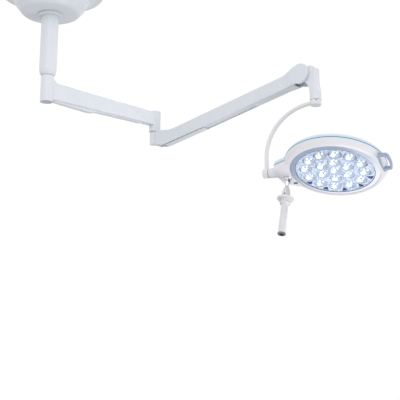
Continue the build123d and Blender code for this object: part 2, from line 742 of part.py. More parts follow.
# ==== Parallel rod ====
ROD_Z = -ROD_DROP * cos(lift)
ROD_X = -ROD_DROP * sin(lift)
with BuildPart() as parallel_rod:
    with BuildSketch(upright(SPRING_ARM)):
        with Locations((ROD_X + SPRING_ARM_LENGTH / 2, ROD_Z)):
            Rectangle(SPRING_ARM_LENGTH, 7)
        with Locations((ROD_X, ROD_Z), (ROD_X + SPRING_ARM_LENGTH, ROD_Z)):
            Circle(7)
        with Locations((ROD_X, ROD_Z)):
            Circle(SMALL_PIN_R + FIT, mode=Mode.SUBTRACT)
        with Locations((ROD_X + SPRING_ARM_LENGTH, ROD_Z)):
            Circle(SMALL_PIN_R + GAP, mode=Mode.SUBTRACT)
    extrude(amount=4, both=True)
parallel_rod.part.label = "parallel_rod"
export_step(parallel_rod.part, "parts/parallel_rod.step")

# ==== Arm head ====
HEAD_BUSH_R = 16.0
YOKE_SPINDLE_R = 12.0
HEAD_LEFT = 21.5 - HEAD_OFFSET
with BuildPart() as head_block:
    bar(HEAD, HEAD_SEAM_R, -HEAD_DROP, -62)
    slab(
        upright(HEAD),
        30,
        (30, -108),
        (10.5, -66),
        (10.5, -60),
        (30, -60),
        mode=Mode.SUBTRACT,
    )
    slab(
        upright(HEAD),
        20,
        (10.5, -66),
        (8, -40),
        (7, 16),
        (-12, 28),
        (HEAD_LEFT, 24),
        (HEAD_LEFT, -38),
        (-21, -66),
    )
    slab(
        upright(HEAD_PIVOT),
        EAR_HALF_WIDTH,
        (0, 14),
        (22, 24),
        (22, -50),
        (6, -27),
        (-6, -26),
        (-14, 0),
    )
    block(HEAD_PIVOT, (-30, 12), (-EAR_SLOT, EAR_SLOT), (-40, 30), mode=Mode.SUBTRACT)
    bar(crossways(HEAD_PIVOT), PIVOT_PIN_R, -30, 30, mode=Mode.SUBTRACT)
    bar(crossways(HEAD_PIVOT, z=-ROD_DROP), SMALL_PIN_R, -30, 30, mode=Mode.SUBTRACT)
    bar(HEAD, HEAD_BUSH_R, -HEAD_DROP, -82, mode=Mode.SUBTRACT)
head_block.part.label = "head_block"
export_step(head_block.part, "parts/head_block.step")

with BuildPart() as head_pins:
    bar(crossways(HEAD_PIVOT), PIVOT_PIN_R, -PIVOT_PIN_HALF, PIVOT_PIN_HALF)
    bar(crossways(HEAD_PIVOT, z=-ROD_DROP), SMALL_PIN_R, -EAR_HALF_WIDTH, EAR_HALF_WIDTH)
head_pins.part.label = "head_pins"
export_step(head_pins.part, "parts/head_pins.step")

with BuildPart() as head_bushes:
    ring(HEAD, HEAD_BUSH_R, YOKE_SPINDLE_R + FIT, -HEAD_DROP + 1, -112)
    ring(HEAD, HEAD_BUSH_R, YOKE_SPINDLE_R + FIT, -98, -86)
head_bushes.part.label = "head_bushes"
export_step(head_bushes.part, "parts/head_bushes.step")

# ==== Yoke ====


def yoke_bend(radius, mode=Mode.ADD):
    """Quarter bend and straight drop of the yoke tube, as a solid of the given radius."""
    with BuildLine(upright(YOKE)) as path:
        ThreePointArc(
            (0, YOKE_TUBE_Z),
            (
                -YOKE_RADIUS * sin(radians(45)),
                YOKE_TUBE_Z - YOKE_RADIUS * (1 - cos(radians(45))),
            ),
            (-YOKE_RADIUS, YOKE_TUBE_Z - YOKE_RADIUS),
        )
        Line(
            (-YOKE_RADIUS, YOKE_TUBE_Z - YOKE_RADIUS),
            (-YOKE_RADIUS, YOKE_TUBE_Z - YOKE_RADIUS - YOKE_DROP + 14),
        )
    with BuildSketch(square(moved(YOKE, z=YOKE_TUBE_Z))) as section:
        Circle(radius)
    sweep(section.sketch, path=path.line, mode=mode)


with BuildPart() as yoke_tube:
    yoke_bend(YOKE_TUBE_R)
    yoke_bend(YOKE_TUBE_R - 2.5, mode=Mode.SUBTRACT)
    block(YOKE, (-14, 14), (-14, 14), (-30, 5), mode=Mode.SUBTRACT)
yoke_tube.part.label = "yoke_tube"
export_step(yoke_tube.part, "parts/yoke_tube.step")

SPINDLE_TOP = HEAD_DROP - 84
with BuildPart() as yoke_collar:
    turn(
        YOKE,
        (0, -COLLAR_HEIGHT),
        (HEAD_SEAM_R - 4, -COLLAR_HEIGHT),
        (HEAD_SEAM_R - 0.6, -COLLAR_HEIGHT + 4),
        (HEAD_SEAM_R - 0.6, -1),
        (YOKE_SPINDLE_R, -1),
        (YOKE_SPINDLE_R, SPINDLE_TOP),
        (0, SPINDLE_TOP),
    )
    bar(YOKE, 5, -12, SPINDLE_TOP, mode=Mode.SUBTRACT)
    yoke_bend(YOKE_TUBE_R, mode=Mode.SUBTRACT)
yoke_collar.part.label = "yoke_collar"
export_step(yoke_collar.part, "parts/yoke_collar.step")

COLLAR_PIN = Plane(YOKE.from_local_coords((0, 0, -6)), x_dir=(0, 0, 1), z_dir=heading(-135))
with BuildPart() as yoke_screw:
    bar(COLLAR_PIN, 2.5, HEAD_SEAM_R - 0.6, HEAD_SEAM_R + 0.6)
yoke_screw.part.label = "yoke_screw"
export_step(yoke_screw.part, "parts/yoke_screw.step")

HUB_NEAR = -289.2
HUB_FAR = -310.0
AXLE_R = 9.0
with BuildPart() as yoke_hub:
    turn(
        TILT_AXIS,
        (0, HUB_FAR - 4.5),
        (BARREL_R - 3, HUB_FAR - 4),
        (BARREL_R - 0.5, HUB_FAR - 2.5),
        (BARREL_R, HUB_FAR),
        (BARREL_R, HUB_NEAR),
        (AXLE_R + FIT, HUB_NEAR),
        (AXLE_R + FIT, HUB_FAR + 2),
        (0, HUB_FAR + 2),
    )
    yoke_bend(YOKE_TUBE_R, mode=Mode.SUBTRACT)
yoke_hub.part.label = "yoke_hub"
export_step(yoke_hub.part, "parts/yoke_hub.step")

# ==== Lamp head ====
with BuildPart() as tilt_axle:
    ring(TILT_AXIS, AXLE_R, 4, HUB_FAR + 2.5, -225)
tilt_axle.part.label = "tilt_axle"
export_step(tilt_axle.part, "parts/tilt_axle.step")

CASTING_FACE = -286.8
NECK_X = -252.0
with BuildPart() as friction_washer:
    ring(TILT_AXIS, BARREL_R - 2, AXLE_R, HUB_NEAR + 0.2, CASTING_FACE)
friction_washer.part.label = "friction_washer"
export_step(friction_washer.part, "parts/friction_washer.step")

with BuildPart() as neck_casting:
    bar(TILT_AXIS, BARREL_R, CASTING_FACE, NECK_X + 4)
    block(LAMP, (NECK_X + 4, -215), (-16, 16), (-13, 16))
    bar(TILT_AXIS, AXLE_R, CASTING_FACE, -225, mode=Mode.SUBTRACT)
neck_casting.part.label = "neck_casting"
export_step(neck_casting.part, "parts/neck_casting.step")

NECK_TAPER = 8.0


def neck_outline(plane, inset):
    """Plan of the neck between the round head and its tilt joint, drawn inward by an inset."""
    with BuildSketch(plane) as plan:
        with BuildLine():
            Polyline(
                (NECK_X, -42),
                (-199, -70),
                (-120, -90),
                (-120, 110),
                (-180, 96),
                (-214, 80),
                (-240, 72),
                (-247, 34),
                (NECK_X, 20),
                close=True,
            )
        make_face()
        fillet(plan.vertices().sort_by(LAMP_LENGTH)[:5], 6)
        if inset:
            offset(amount=-inset)
    return plan.sketch


def bowl(inset, depth, top, mode=Mode.ADD):
    """Round lower body from its front rim to the seam, as a solid drawn inward by an inset."""
    with BuildSketch(upright(LAMP)) as section:
        with BuildLine():
            rim = Polyline(
                (0, top),
                (0, depth),
                (FRONT_R - 6 - inset, depth),
            )
            side = ThreePointArc(
                (FRONT_R - 6 - inset, depth),
                (FRONT_R + 7 - inset, FRONT + 8 + inset * 0.3),
                (RIM_R - inset, top),
            )
            Line(side @ 1, rim @ 0)
        make_face()
    revolve(section.sketch, axis=Axis(LAMP.origin, LAMP.z_dir), mode=mode)


BUTTON_X = -188.0
BUTTON_Y = 65.0
with BuildPart() as lamp_bezel:
    bowl(0, FRONT, SEAM)
    extrude(neck_outline(LAMP.offset(FRONT), 0), amount=SEAM - FRONT, taper=-NECK_TAPER)
    bowl(HOUSING_WALL, FRONT + HOUSING_WALL, SEAM, mode=Mode.SUBTRACT)
    extrude(
        neck_outline(LAMP.offset(FRONT + HOUSING_WALL), HOUSING_WALL),
        amount=SEAM - FRONT,
        taper=-NECK_TAPER,
        mode=Mode.SUBTRACT,
    )
    bar(LAMP, 186, FRONT - 1, FRONT + 5, mode=Mode.SUBTRACT)
    bar(TILT_AXIS, BARREL_R + 0.2, NECK_X - 20, NECK_X + 8, mode=Mode.SUBTRACT)
    block(
        moved(LAMP, x=BUTTON_X, y=BUTTON_Y),
        (-9.4, 9.4),
        (-6.4, 6.4),
        (FRONT - 1, FRONT + 5),
        mode=Mode.SUBTRACT,
    )
lamp_bezel.part.label = "lamp_bezel"
export_step(lamp_bezel.part, "parts/lamp_bezel.step")

ACCENT_T = 3.0
NECK_TAPER_GROWTH = 3.8
with BuildPart() as accent_ring:
    bar(LAMP, RIM_R + 0.6, SEAM, SEAM + ACCENT_T)
    extrude(neck_outline(LAMP.offset(SEAM), -NECK_TAPER_GROWTH - 0.6), amount=ACCENT_T)
    bar(LAMP, RIM_R - 6, SEAM, SEAM + ACCENT_T, mode=Mode.SUBTRACT)
    extrude(
        neck_outline(LAMP.offset(SEAM), 6 - NECK_TAPER_GROWTH),
        amount=ACCENT_T,
        mode=Mode.SUBTRACT,
    )
    bar(TILT_AXIS, BARREL_R + 0.2, NECK_X - 20, NECK_X + 8, mode=Mode.SUBTRACT)
accent_ring.part.label = "accent_ring"
export_step(accent_ring.part, "parts/accent_ring.step")

HOUSING_BASE = SEAM + ACCENT_T


def dome(inset, mode=Mode.ADD):
    """Round back of the head above the accent ring, as a solid drawn inward by an inset."""
    with BuildSketch(upright(LAMP)) as section:
        with BuildLine():
            base = Polyline((0, 60 - inset), (0, HOUSING_BASE), (RIM_R - inset, HOUSING_BASE))
            wall = Line(base @ 1, (RIM_R - 1 - inset, HOUSING_BASE + 8))
            shoulder = ThreePointArc(
                wall @ 1,
                (203.5 - inset, 33 - inset),
                (184 - inset, 42 - inset),
            )
            Polyline(
                shoulder @ 1,
                (140, 51 - inset),
                (90, 57 - inset),
                (40, 60 - inset),
                (0, 60 - inset),
            )
        make_face()
    revolve(section.sketch, axis=Axis(LAMP.origin, LAMP.z_dir), mode=mode)


with BuildPart() as top_housing:
    dome(0)
    extrude(
        neck_outline(LAMP.offset(HOUSING_BASE), -NECK_TAPER_GROWTH), amount=22, taper=NECK_TAPER
    )
    dome(HOUSING_WALL, mode=Mode.SUBTRACT)
    block(LAMP, (-234, -150), (-40, 64), (HOUSING_BASE, 30), mode=Mode.SUBTRACT)
    block(LAMP, (-246, -230), (-17, 17), (HOUSING_BASE, 17), mode=Mode.SUBTRACT)
    bar(TILT_AXIS, BARREL_R + 0.2, NECK_X - 20, NECK_X + 8, mode=Mode.SUBTRACT)
top_housing.part.label = "top_housing"
export_step(top_housing.part, "parts/top_housing.step")

GLASS_FRONT = -17.5
GLASS_T = 3.5
COVE_R = 185.8
with BuildPart() as cove_ring:
    turn(
        LAMP,
        (WINDOW_R, -18.6),
        (COVE_R, -13.5),
        (COVE_R, -10),
        (GLASS_R + 0.2, -10),
        (GLASS_R + 0.2, GLASS_FRONT),
        (WINDOW_R, GLASS_FRONT),
    )
cove_ring.part.label = "cove_ring"
export_step(cove_ring.part, "parts/cove_ring.step")

with BuildPart() as cover_glass:
    bar(LAMP, GLASS_R, GLASS_FRONT, GLASS_FRONT + GLASS_T)
cover_glass.part.label = "cover_glass"
export_step(cover_glass.part, "parts/cover_glass.step")

# One lens in the middle, six around it and twelve around those.
LENS_RINGS = ((1, 0.0, 0.0), (6, 60.0, 40.0), (12, 121.0, 14.0))
LENS_FRONT = GLASS_FRONT + GLASS_T + 0.3
LENS_BACK = 2.0
with BuildPart() as lens_plate:
    with BuildSketch(LAMP.offset(LENS_FRONT + 2)):
        Circle(GLASS_R - 1)
        for count, radius, start_angle in LENS_RINGS:
            with PolarLocations(radius, count, start_angle=start_angle):
                Circle(LENS_R + 0.3, mode=Mode.SUBTRACT)
    extrude(amount=1.5)
lens_plate.part.label = "lens_plate"
export_step(lens_plate.part, "parts/lens_plate.step")

with BuildPart() as lenses:
    for count, radius, start_angle in LENS_RINGS:
        for index in range(count):
            angle = radians(start_angle + index * 360 / count)
            turn(
                moved(LAMP, x=radius * cos(angle), y=radius * sin(angle)),
                (0, LENS_FRONT),
                (LENS_R - 3, LENS_FRONT),
                (LENS_R, LENS_FRONT + 1.5),
                (LENS_R, LENS_FRONT + 4),
                (8, LENS_BACK),
                (0, LENS_BACK),
            )
lenses.part.label = "lenses"
export_step(lenses.part, "parts/lenses.step")

BOARD_T = 1.6
SCREW_PCR = 145.0
SCREW_START = 29.0
with BuildPart() as led_board:
    with BuildSketch(LAMP.offset(LENS_BACK + 1.2)):
        Circle(152)
        with PolarLocations(SCREW_PCR, 6, start_angle=SCREW_START):
            Circle(2, mode=Mode.SUBTRACT)
    extrude(amount=BOARD_T)
    for count, radius, start_angle in LENS_RINGS:
        with BuildSketch(LAMP.offset(LENS_BACK + 0.2)):
            with PolarLocations(radius, count, start_angle=start_angle):
                Rectangle(7, 7)
        extrude(amount=1)
led_board.part.label = "led_board"
export_step(led_board.part, "parts/led_board.step")

# Six screws clamp the board to the heat sink, each halfway between two outer lenses.
SINK_BASE = LENS_BACK + 1.2 + BOARD_T
with BuildPart() as heat_sink:
    with BuildSketch(LAMP.offset(SINK_BASE)):
        Circle(154)
        with PolarLocations(SCREW_PCR, 6, start_angle=SCREW_START):
            Circle(2, mode=Mode.SUBTRACT)
    extrude(amount=5)
    for index in range(-7, 8):
        fin_y = index * 18
        half = sqrt(150**2 - fin_y**2)
        block(LAMP, (-half, half), (fin_y - 1.2, fin_y + 1.2), (SINK_BASE + 5, SINK_BASE + 19))
heat_sink.part.label = "heat_sink"
export_step(heat_sink.part, "parts/heat_sink.step")

with BuildPart() as board_screws:
    with BuildSketch(LAMP.offset(LENS_BACK + 1.2)):
        with PolarLocations(SCREW_PCR, 6, start_angle=SCREW_START):
            Circle(3.5)
    extrude(amount=-2)
    with BuildSketch(LAMP.offset(LENS_BACK + 1.2)):
        with PolarLocations(SCREW_PCR, 6, start_angle=SCREW_START):
            Circle(1.9)
    extrude(amount=BOARD_T + 4)
board_screws.part.label = "board_screws"
export_step(board_screws.part, "parts/board_screws.step")

# The side handle is a flat loop with a slot for the fingers.
HANDLE_BACK = -5.0
with BuildPart() as side_handle:
    with BuildSketch(LAMP.offset(FRONT)) as loop:
        with BuildLine():
            Polyline(
                (196, -99),
                (204, -91),
                (230, -87),
                (237, -74),
                (240, -38),
                (238.5, -6),
                (233, 20),
                (209, 25),
                (196, 38),
                (200, -30),
                close=True,
            )
        make_face()
        with BuildLine():
            Polyline((190, -75), (225, -75), (230, -40), (229, -8), (225, 11), (190, 11), close=True)
        make_face(mode=Mode.SUBTRACT)
    extrude(amount=HANDLE_BACK - FRONT)
    bowl(-0.1, FRONT, SEAM, mode=Mode.SUBTRACT)
side_handle.part.label = "side_handle"
export_step(side_handle.part, "parts/side_handle.step")

with BuildPart() as handle_socket:
    turn(
        HANDLE,
        (0, 0),
        (19, 0),
        (19, -2.5),
        (17, -4),
        (13.5, -20),
        (7, -42),
        (5, -43),
        (5, -92),
        (0, -92),
    )
handle_socket.part.label = "handle_socket"
export_step(handle_socket.part, "parts/handle_socket.step")

# ==== Power button ====
with BuildPart() as power_button:
    block(moved(LAMP, x=BUTTON_X, y=BUTTON_Y), (-9, 9), (-6, 6), (FRONT - 1, FRONT + 5))
    fillet(power_button.edges().group_by(Axis(LAMP.origin, LAMP.z_dir))[1], 2)
power_button.part.label = "power_button"
export_step(power_button.part, "parts/power_button.step")

# ==== Sterile handle ====
LATCH_Z = -84.0
LATCH = Plane(
    HANDLE.from_local_coords((0, 0, LATCH_Z)), x_dir=HANDLE.x_dir, z_dir=-HANDLE.y_dir
)
with BuildPart() as handle_bell:
    turn(
        HANDLE,
        (5 + FIT, -45),
        (9, -45),
        (13, -54),
        (17, -66),
        (18, -76),
        (18, -98),
        (5 + FIT, -98),
    )
    bar(LATCH, 3.8, 9, 20, mode=Mode.SUBTRACT)
handle_bell.part.label = "handle_bell"
export_step(handle_bell.part, "parts/handle_bell.step")

with BuildPart() as handle_latch:
    bar(LATCH, 3.5, 11, 18.8)
handle_latch.part.label = "handle_latch"
export_step(handle_latch.part, "parts/handle_latch.step")

GRIP_END = -264.0
with BuildPart() as handle_grip:
    turn(
        HANDLE,
        (0, -98),
        (34, -98),
        (36.5, -100),
        (36.5, -102),
        (34, -104),
        (20, -106),
        (18, -110),
        (18, -121),
        (22.5, -122),
        (22.5, -126),
        (16, -128),
        (15, -140),
        (16, GRIP_END),
        (12, GRIP_END),
        (12, -140),
        (0, -136),
    )
handle_grip.part.label = "handle_grip"
export_step(handle_grip.part, "parts/handle_grip.step")

with BuildPart() as handle_end_ring:
    turn(
        HANDLE,
        (12, GRIP_END + 8),
        (10, GRIP_END + 8),
        (10, GRIP_END - 6),
        (16, GRIP_END - 6),
        (17.5, GRIP_END - 4.5),
        (17.5, GRIP_END - 1),
        (16.5, GRIP_END),
        (12, GRIP_END),
    )
handle_end_ring.part.label = "handle_end_ring"
export_step(handle_end_ring.part, "parts/handle_end_ring.step")
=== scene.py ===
import json
import math

import bmesh
import bpy
from mathutils import Matrix, Vector


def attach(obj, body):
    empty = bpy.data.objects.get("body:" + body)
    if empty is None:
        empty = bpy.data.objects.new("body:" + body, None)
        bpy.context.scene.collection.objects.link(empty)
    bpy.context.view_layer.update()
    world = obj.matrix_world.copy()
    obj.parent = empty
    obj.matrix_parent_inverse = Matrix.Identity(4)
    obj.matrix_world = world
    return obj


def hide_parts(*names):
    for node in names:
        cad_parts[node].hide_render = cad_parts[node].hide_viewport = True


# Surgical light on a ceiling column. Lengths in this script are millimetres in the frame of the
# body they belong to, and Place turns them into metres in the row frame.

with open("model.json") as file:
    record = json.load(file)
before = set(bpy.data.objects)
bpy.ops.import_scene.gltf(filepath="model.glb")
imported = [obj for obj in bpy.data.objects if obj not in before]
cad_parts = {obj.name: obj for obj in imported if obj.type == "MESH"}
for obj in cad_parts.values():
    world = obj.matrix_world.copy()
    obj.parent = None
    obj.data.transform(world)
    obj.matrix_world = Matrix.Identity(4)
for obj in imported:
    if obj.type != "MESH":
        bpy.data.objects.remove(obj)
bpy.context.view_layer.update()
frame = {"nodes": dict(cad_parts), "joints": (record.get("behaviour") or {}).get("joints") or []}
NODES = frame["nodes"]
JOINTS = {joint["name"]: joint for joint in frame["joints"]}
MM = 0.001

# ---- Driving dimensions, as in the CAD ----
ARM_LENGTH = 876.0
LAMP_REACH = 298.7
HEAD_OFFSET = 62.92
YOKE_RADIUS = 219.0
YOKE_DROP = 71.0
YOKE_TUBE_RADIUS = 9.0
TUBE_Z = -11.0
ARM_HALF_WIDTH = 24.0
ARM_START = -22.0
ARM_CAP_RADIUS = 45.0
LAMP_FRONT = -18.0
SEAM_LOW = 9.0
SEAM_HIGH = 12.0
LENS_RINGS = ((1, 0.0, 0.0), (6, 60.0, 40.0), (12, 121.0, 14.0))  # count, radius, first angle


class Place:
    """A frame with an origin in metres and three unit axes; at() takes millimetres."""

    def __init__(self, origin, x, z):
        self.origin = Vector(origin)
        self.x = Vector(x).normalized()
        self.z = Vector(z).normalized()
        self.y = self.z.cross(self.x)

    def at(self, x, y, z):
        return self.origin + (self.x * x + self.y * y + self.z * z) * MM

    def moved(self, x=0.0, y=0.0, z=0.0):
        return Place(self.at(x, y, z), self.x, self.z)


UP = Vector((0, 0, 1))
COLUMN = Place((0, 0, 0), (1, 0, 0), UP)
arm_x = Vector(JOINTS["tension_rod_slide"]["axis"])
lift_axis = Vector(JOINTS["spring_arm_lift"]["axis"])
arm_heading = Vector((arm_x.x, arm_x.y, 0)).normalized()
SPRING_ARM = Place(JOINTS["spring_arm_lift"]["pos_m"], arm_x, arm_x.cross(-lift_axis))
HEAD_PIVOT = Place(JOINTS["head_level"]["pos_m"], arm_heading, UP)
tilt_x = Vector(JOINTS["lamp_tilt"]["axis"])
YOKE = Place(JOINTS["yoke_swivel"]["pos_m"], tilt_x, UP)
lamp_z = Vector(JOINTS["handle_twist"]["axis"])
TILT = Place(JOINTS["lamp_tilt"]["pos_m"], tilt_x, lamp_z)
LAMP = TILT.moved(x=LAMP_REACH)
TILT_AXIS = Place(LAMP.origin, LAMP.y, LAMP.x)
HANDLE = LAMP.moved(x=-210, y=22, z=-18)


# ---- Materials ----
def node(tree, kind, **values):
    """Shader node with some of its sockets or settings given by name."""
    made = tree.nodes.new(kind)
    for key, value in values.items():
        if key in made.inputs:
            made.inputs[key].default_value = value
        else:
            setattr(made, key, value)
    return made


def surface(
    name,
    light,
    dark,
    roughness=(0.35, 0.45),
    patch=18.0,
    grain=900.0,
    bump=0.08,
    depth=0.0002,
    metallic=0.0,
    coat=0.0,
    stretch=(1, 1, 1),
):
    """Shader whose colour, roughness and fine relief all come from noise in the object's frame."""
    material = bpy.data.materials.new(name)
    material.use_nodes = True
    tree = material.node_tree
    shader = tree.nodes["Principled BSDF"]
    shader.inputs["Metallic"].default_value = metallic
    shader.inputs["Coat Weight"].default_value = coat
    shader.inputs["Coat Roughness"].default_value = 0.12
    place = node(tree, "ShaderNodeTexCoord")
    scale = node(tree, "ShaderNodeMapping")
    scale.inputs["Scale"].default_value = stretch
    tree.links.new(place.outputs["Object"], scale.inputs["Vector"])
    broad = node(tree, "ShaderNodeTexNoise", Scale=patch, Detail=4.0, Roughness=0.55)
    fine = node(tree, "ShaderNodeTexNoise", Scale=grain, Detail=3.0, Roughness=0.6)
    for texture in (broad, fine):
        tree.links.new(scale.outputs["Vector"], texture.inputs["Vector"])
    ramp = node(tree, "ShaderNodeValToRGB")
    ramp.color_ramp.elements[0].position = 0.3
    ramp.color_ramp.elements[1].position = 0.7
    ramp.color_ramp.elements[0].color = (*dark, 1)
    ramp.color_ramp.elements[1].color = (*light, 1)
    tree.links.new(broad.outputs["Fac"], ramp.inputs["Fac"])
    tree.links.new(ramp.outputs["Color"], shader.inputs["Base Color"])
    rough = node(tree, "ShaderNodeMapRange")
    rough.inputs["From Min"].default_value = 0.35
    rough.inputs["From Max"].default_value = 0.65
    rough.inputs["To Min"].default_value = roughness[0]
    rough.inputs["To Max"].default_value = roughness[1]
    tree.links.new(fine.outputs["Fac"], rough.inputs["Value"])
    tree.links.new(rough.outputs["Result"], shader.inputs["Roughness"])
    relief = node(tree, "ShaderNodeBump", Strength=bump, Distance=depth)
    tree.links.new(fine.outputs["Fac"], relief.inputs["Height"])
    tree.links.new(relief.outputs["Normal"], shader.inputs["Normal"])
    return material


def painted_glow_band(material, place, z_full, z_none, colour, strength):
    """Painted light: a tint, and a glow where strength isn't 0, that fades along the place's Z axis."""
    tree = material.node_tree
    shader = tree.nodes["Principled BSDF"]
    position = node(tree, "ShaderNodeTexCoord")
    dot = node(tree, "ShaderNodeVectorMath", operation="DOT_PRODUCT")
    dot.inputs[1].default_value = place.z
    tree.links.new(position.outputs["Object"], dot.inputs[0])
    base = place.origin.dot(place.z)
    fade = node(tree, "ShaderNodeMapRange", interpolation_type="SMOOTHSTEP")
    fade.inputs["From Min"].default_value = base + z_none * MM
    fade.inputs["From Max"].default_value = base + z_full * MM
    tree.links.new(dot.outputs["Value"], fade.inputs["Value"])
    mix = node(tree, "ShaderNodeMix", data_type="RGBA")
    tree.links.new(fade.outputs["Result"], mix.inputs["Factor"])
    old = shader.inputs["Base Color"].links[0].from_socket
    tree.links.new(old, mix.inputs["A"])
    mix.inputs["B"].default_value = (*colour, 1)
    tree.links.new(mix.outputs["Result"], shader.inputs["Base Color"])
    glow = node(tree, "ShaderNodeMath", operation="MULTIPLY")
    glow.inputs[1].default_value = strength
    tree.links.new(fade.outputs["Result"], glow.inputs[0])
    shader.inputs["Emission Color"].default_value = (*colour, 1)
    tree.links.new(glow.outputs["Value"], shader.inputs["Emission Strength"])


def painted_glints(material, colour, strength, cell=140.0):
    """Painted glints: glow that varies from cell to cell, standing in for bright reflections in small
    facets.
    """
    tree = material.node_tree
    shader = tree.nodes["Principled BSDF"]
    position = node(tree, "ShaderNodeTexCoord")
    cells = node(tree, "ShaderNodeTexVoronoi", Scale=cell, Randomness=1.0)
    tree.links.new(position.outputs["Object"], cells.inputs["Vector"])
    level = node(tree, "ShaderNodeMapRange")
    level.inputs["From Min"].default_value = 0.15
    level.inputs["From Max"].default_value = 0.85
    level.inputs["To Min"].default_value = strength * 0.25
    level.inputs["To Max"].default_value = strength
    split = node(tree, "ShaderNodeSeparateColor")
    tree.links.new(cells.outputs["Color"], split.inputs["Color"])
    tree.links.new(split.outputs["Red"], level.inputs["Value"])
    shader.inputs["Emission Color"].default_value = (*colour, 1)
    tree.links.new(level.outputs["Result"], shader.inputs["Emission Strength"])


def clear(name, tint, roughness, transmission=1.0, ior=1.49):
    """Clear glass or moulded plastic with faint smears in its gloss."""
    material = surface(name, tint, tint, roughness=roughness, patch=30, grain=60, bump=0.02)
    shader = material.node_tree.nodes["Principled BSDF"]
    shader.inputs["Transmission Weight"].default_value = transmission
    shader.inputs["IOR"].default_value = ior
    return material


PAINT = surface(
    "white_powder_coat", (0.73, 0.76, 0.80), (0.70, 0.73, 0.78), (0.32, 0.42), bump=0.05
)
YOKE_PAINT = surface(
    "warm_white_coat", (0.76, 0.75, 0.77), (0.73, 0.72, 0.745), (0.30, 0.40), bump=0.08
)
COVER = surface(
    "white_moulded_cover", (0.71, 0.745, 0.79), (0.68, 0.72, 0.77), (0.40, 0.50), grain=1500, bump=0.06
)
BEZEL = surface(
    "satin_bezel", (0.78, 0.76, 0.79), (0.75, 0.745, 0.79), (0.28, 0.36), grain=1200, bump=0.05, coat=0.2
)
HOUSING = surface("housing_paint", (0.70, 0.75, 0.80), (0.67, 0.73, 0.79), (0.28, 0.38), bump=0.08)
GREY_CAP = surface("grey_cap_plastic", (0.50, 0.52, 0.56), (0.46, 0.48, 0.52), (0.45, 0.55))
STEEL = surface(
    "zinc_steel", (0.62, 0.63, 0.65), (0.50, 0.51, 0.53), (0.25, 0.42), patch=60, grain=400, metallic=1.0
)
ALUMINIUM = surface(
    "mill_aluminium",
    (0.70, 0.71, 0.73),
    (0.60, 0.61, 0.64),
    (0.30, 0.48),
    patch=25,
    grain=300,
    metallic=1.0,
    stretch=(1, 1, 8),
)
BRONZE = surface("sintered_bronze", (0.55, 0.38, 0.17), (0.42, 0.27, 0.11), (0.4, 0.55), metallic=1.0)
DARK = surface("black_oxide", (0.05, 0.055, 0.065), (0.03, 0.033, 0.04), (0.35, 0.5), metallic=0.6)
SUPPLY = surface("grey_case_paint", (0.20, 0.22, 0.25), (0.17, 0.18, 0.21), (0.45, 0.6), bump=0.3)
ACCENT = surface("blue_light_guide", (0.035, 0.09, 0.14), (0.025, 0.07, 0.11), (0.15, 0.25), coat=0.5)
# The surround's blue-grey is painted shade; its far side is painted pale further below.
COVE = surface("blue_grey_surround", (0.35, 0.42, 0.54), (0.30, 0.37, 0.49), (0.18, 0.30), coat=0.4)
GASKET = surface("dark_gasket", (0.035, 0.05, 0.08), (0.02, 0.03, 0.055), (0.5, 0.65), grain=2000)
GLASS = clear("front_glass", (0.97, 0.985, 1.0), (0.02, 0.06), ior=1.2)
PLATE = surface(
    "lens_frame_plastic",
    (0.72, 0.78, 0.92),
    (0.50, 0.60, 0.80),
    (0.15, 0.30),
    patch=130,
    grain=300,
    bump=0.9,
    depth=0.002,
    metallic=0.35,
)
CUP = surface(
    "vacuum_coated_cup",
    (0.84, 0.89, 0.97),
    (0.56, 0.65, 0.82),
    (0.03, 0.10),
    patch=150,
    grain=260,
    bump=0.6,
    depth=0.002,
    metallic=1.0,
)
# Navy for dark patches that lie only on the head's +Y side, between the outer optics.
NAVY = surface("navy_inlay", (0.03, 0.05, 0.30), (0.02, 0.03, 0.20), (0.25, 0.4))
BOARD = surface("white_soldermask", (0.75, 0.77, 0.80), (0.70, 0.72, 0.76), (0.35, 0.5))
LOOP = surface("blue_grey_loop", (0.34, 0.40, 0.52), (0.29, 0.35, 0.47), (0.35, 0.48), bump=0.2)
CHROME = surface(
    "polished_socket", (0.72, 0.72, 0.76), (0.62, 0.62, 0.67), (0.10, 0.22), patch=50, metallic=1.0
)
GRIP = surface("autoclave_plastic", (0.72, 0.72, 0.73), (0.68, 0.685, 0.70), (0.30, 0.42), bump=0.05)
END = surface("grey_end_ring", (0.20, 0.21, 0.24), (0.15, 0.16, 0.19), (0.4, 0.55))
BUTTON = surface("dark_button", (0.07, 0.08, 0.11), (0.05, 0.06, 0.085), (0.35, 0.5), bump=0.25)
LINING = surface("friction_lining", (0.16, 0.12, 0.09), (0.10, 0.08, 0.06), (0.6, 0.8), bump=0.5)
LED = surface("led_dome", (1.0, 1.0, 1.0), (0.93, 0.96, 1.0), (0.1, 0.2))
led_shader = LED.node_tree.nodes["Principled BSDF"]
led_shader.inputs["Emission Color"].default_value = (0.93, 0.96, 1.0, 1)
led_shader.inputs["Emission Strength"].default_value = 0.7
# Painted glints: the lens frame and the cups glow in cells, as painted highlights on parts that are no
# lamps.
painted_glints(PLATE, (0.74, 0.83, 1.0), 0.50)
painted_glints(CUP, (0.80, 0.87, 1.0), 0.16, cell=220.0)
# Painted glow: pale cyan near the seam on the housing and the bezel, fading away from it, in place of
# light from the blue light guide; the bezel also emits a little.
painted_glow_band(HOUSING, LAMP, 12, 27, (0.53, 0.66, 0.77), 0.0)
painted_glow_band(BEZEL, LAMP, 9.5, -1, (0.62, 0.78, 0.88), 0.02)
# Painted light on the surround: its blue-grey turns pale, with a faint glow, towards the head's far
# side.
PAINTED_LIGHT_SIDE = Place(LAMP.origin, LAMP.z, LAMP.x * 0.45 + LAMP.y * 0.9)
painted_glow_band(COVE, PAINTED_LIGHT_SIDE, 150, -130, (0.78, 0.81, 0.88), 0.12)


# ---- Mesh makers ----
SHARP = math.radians(38)


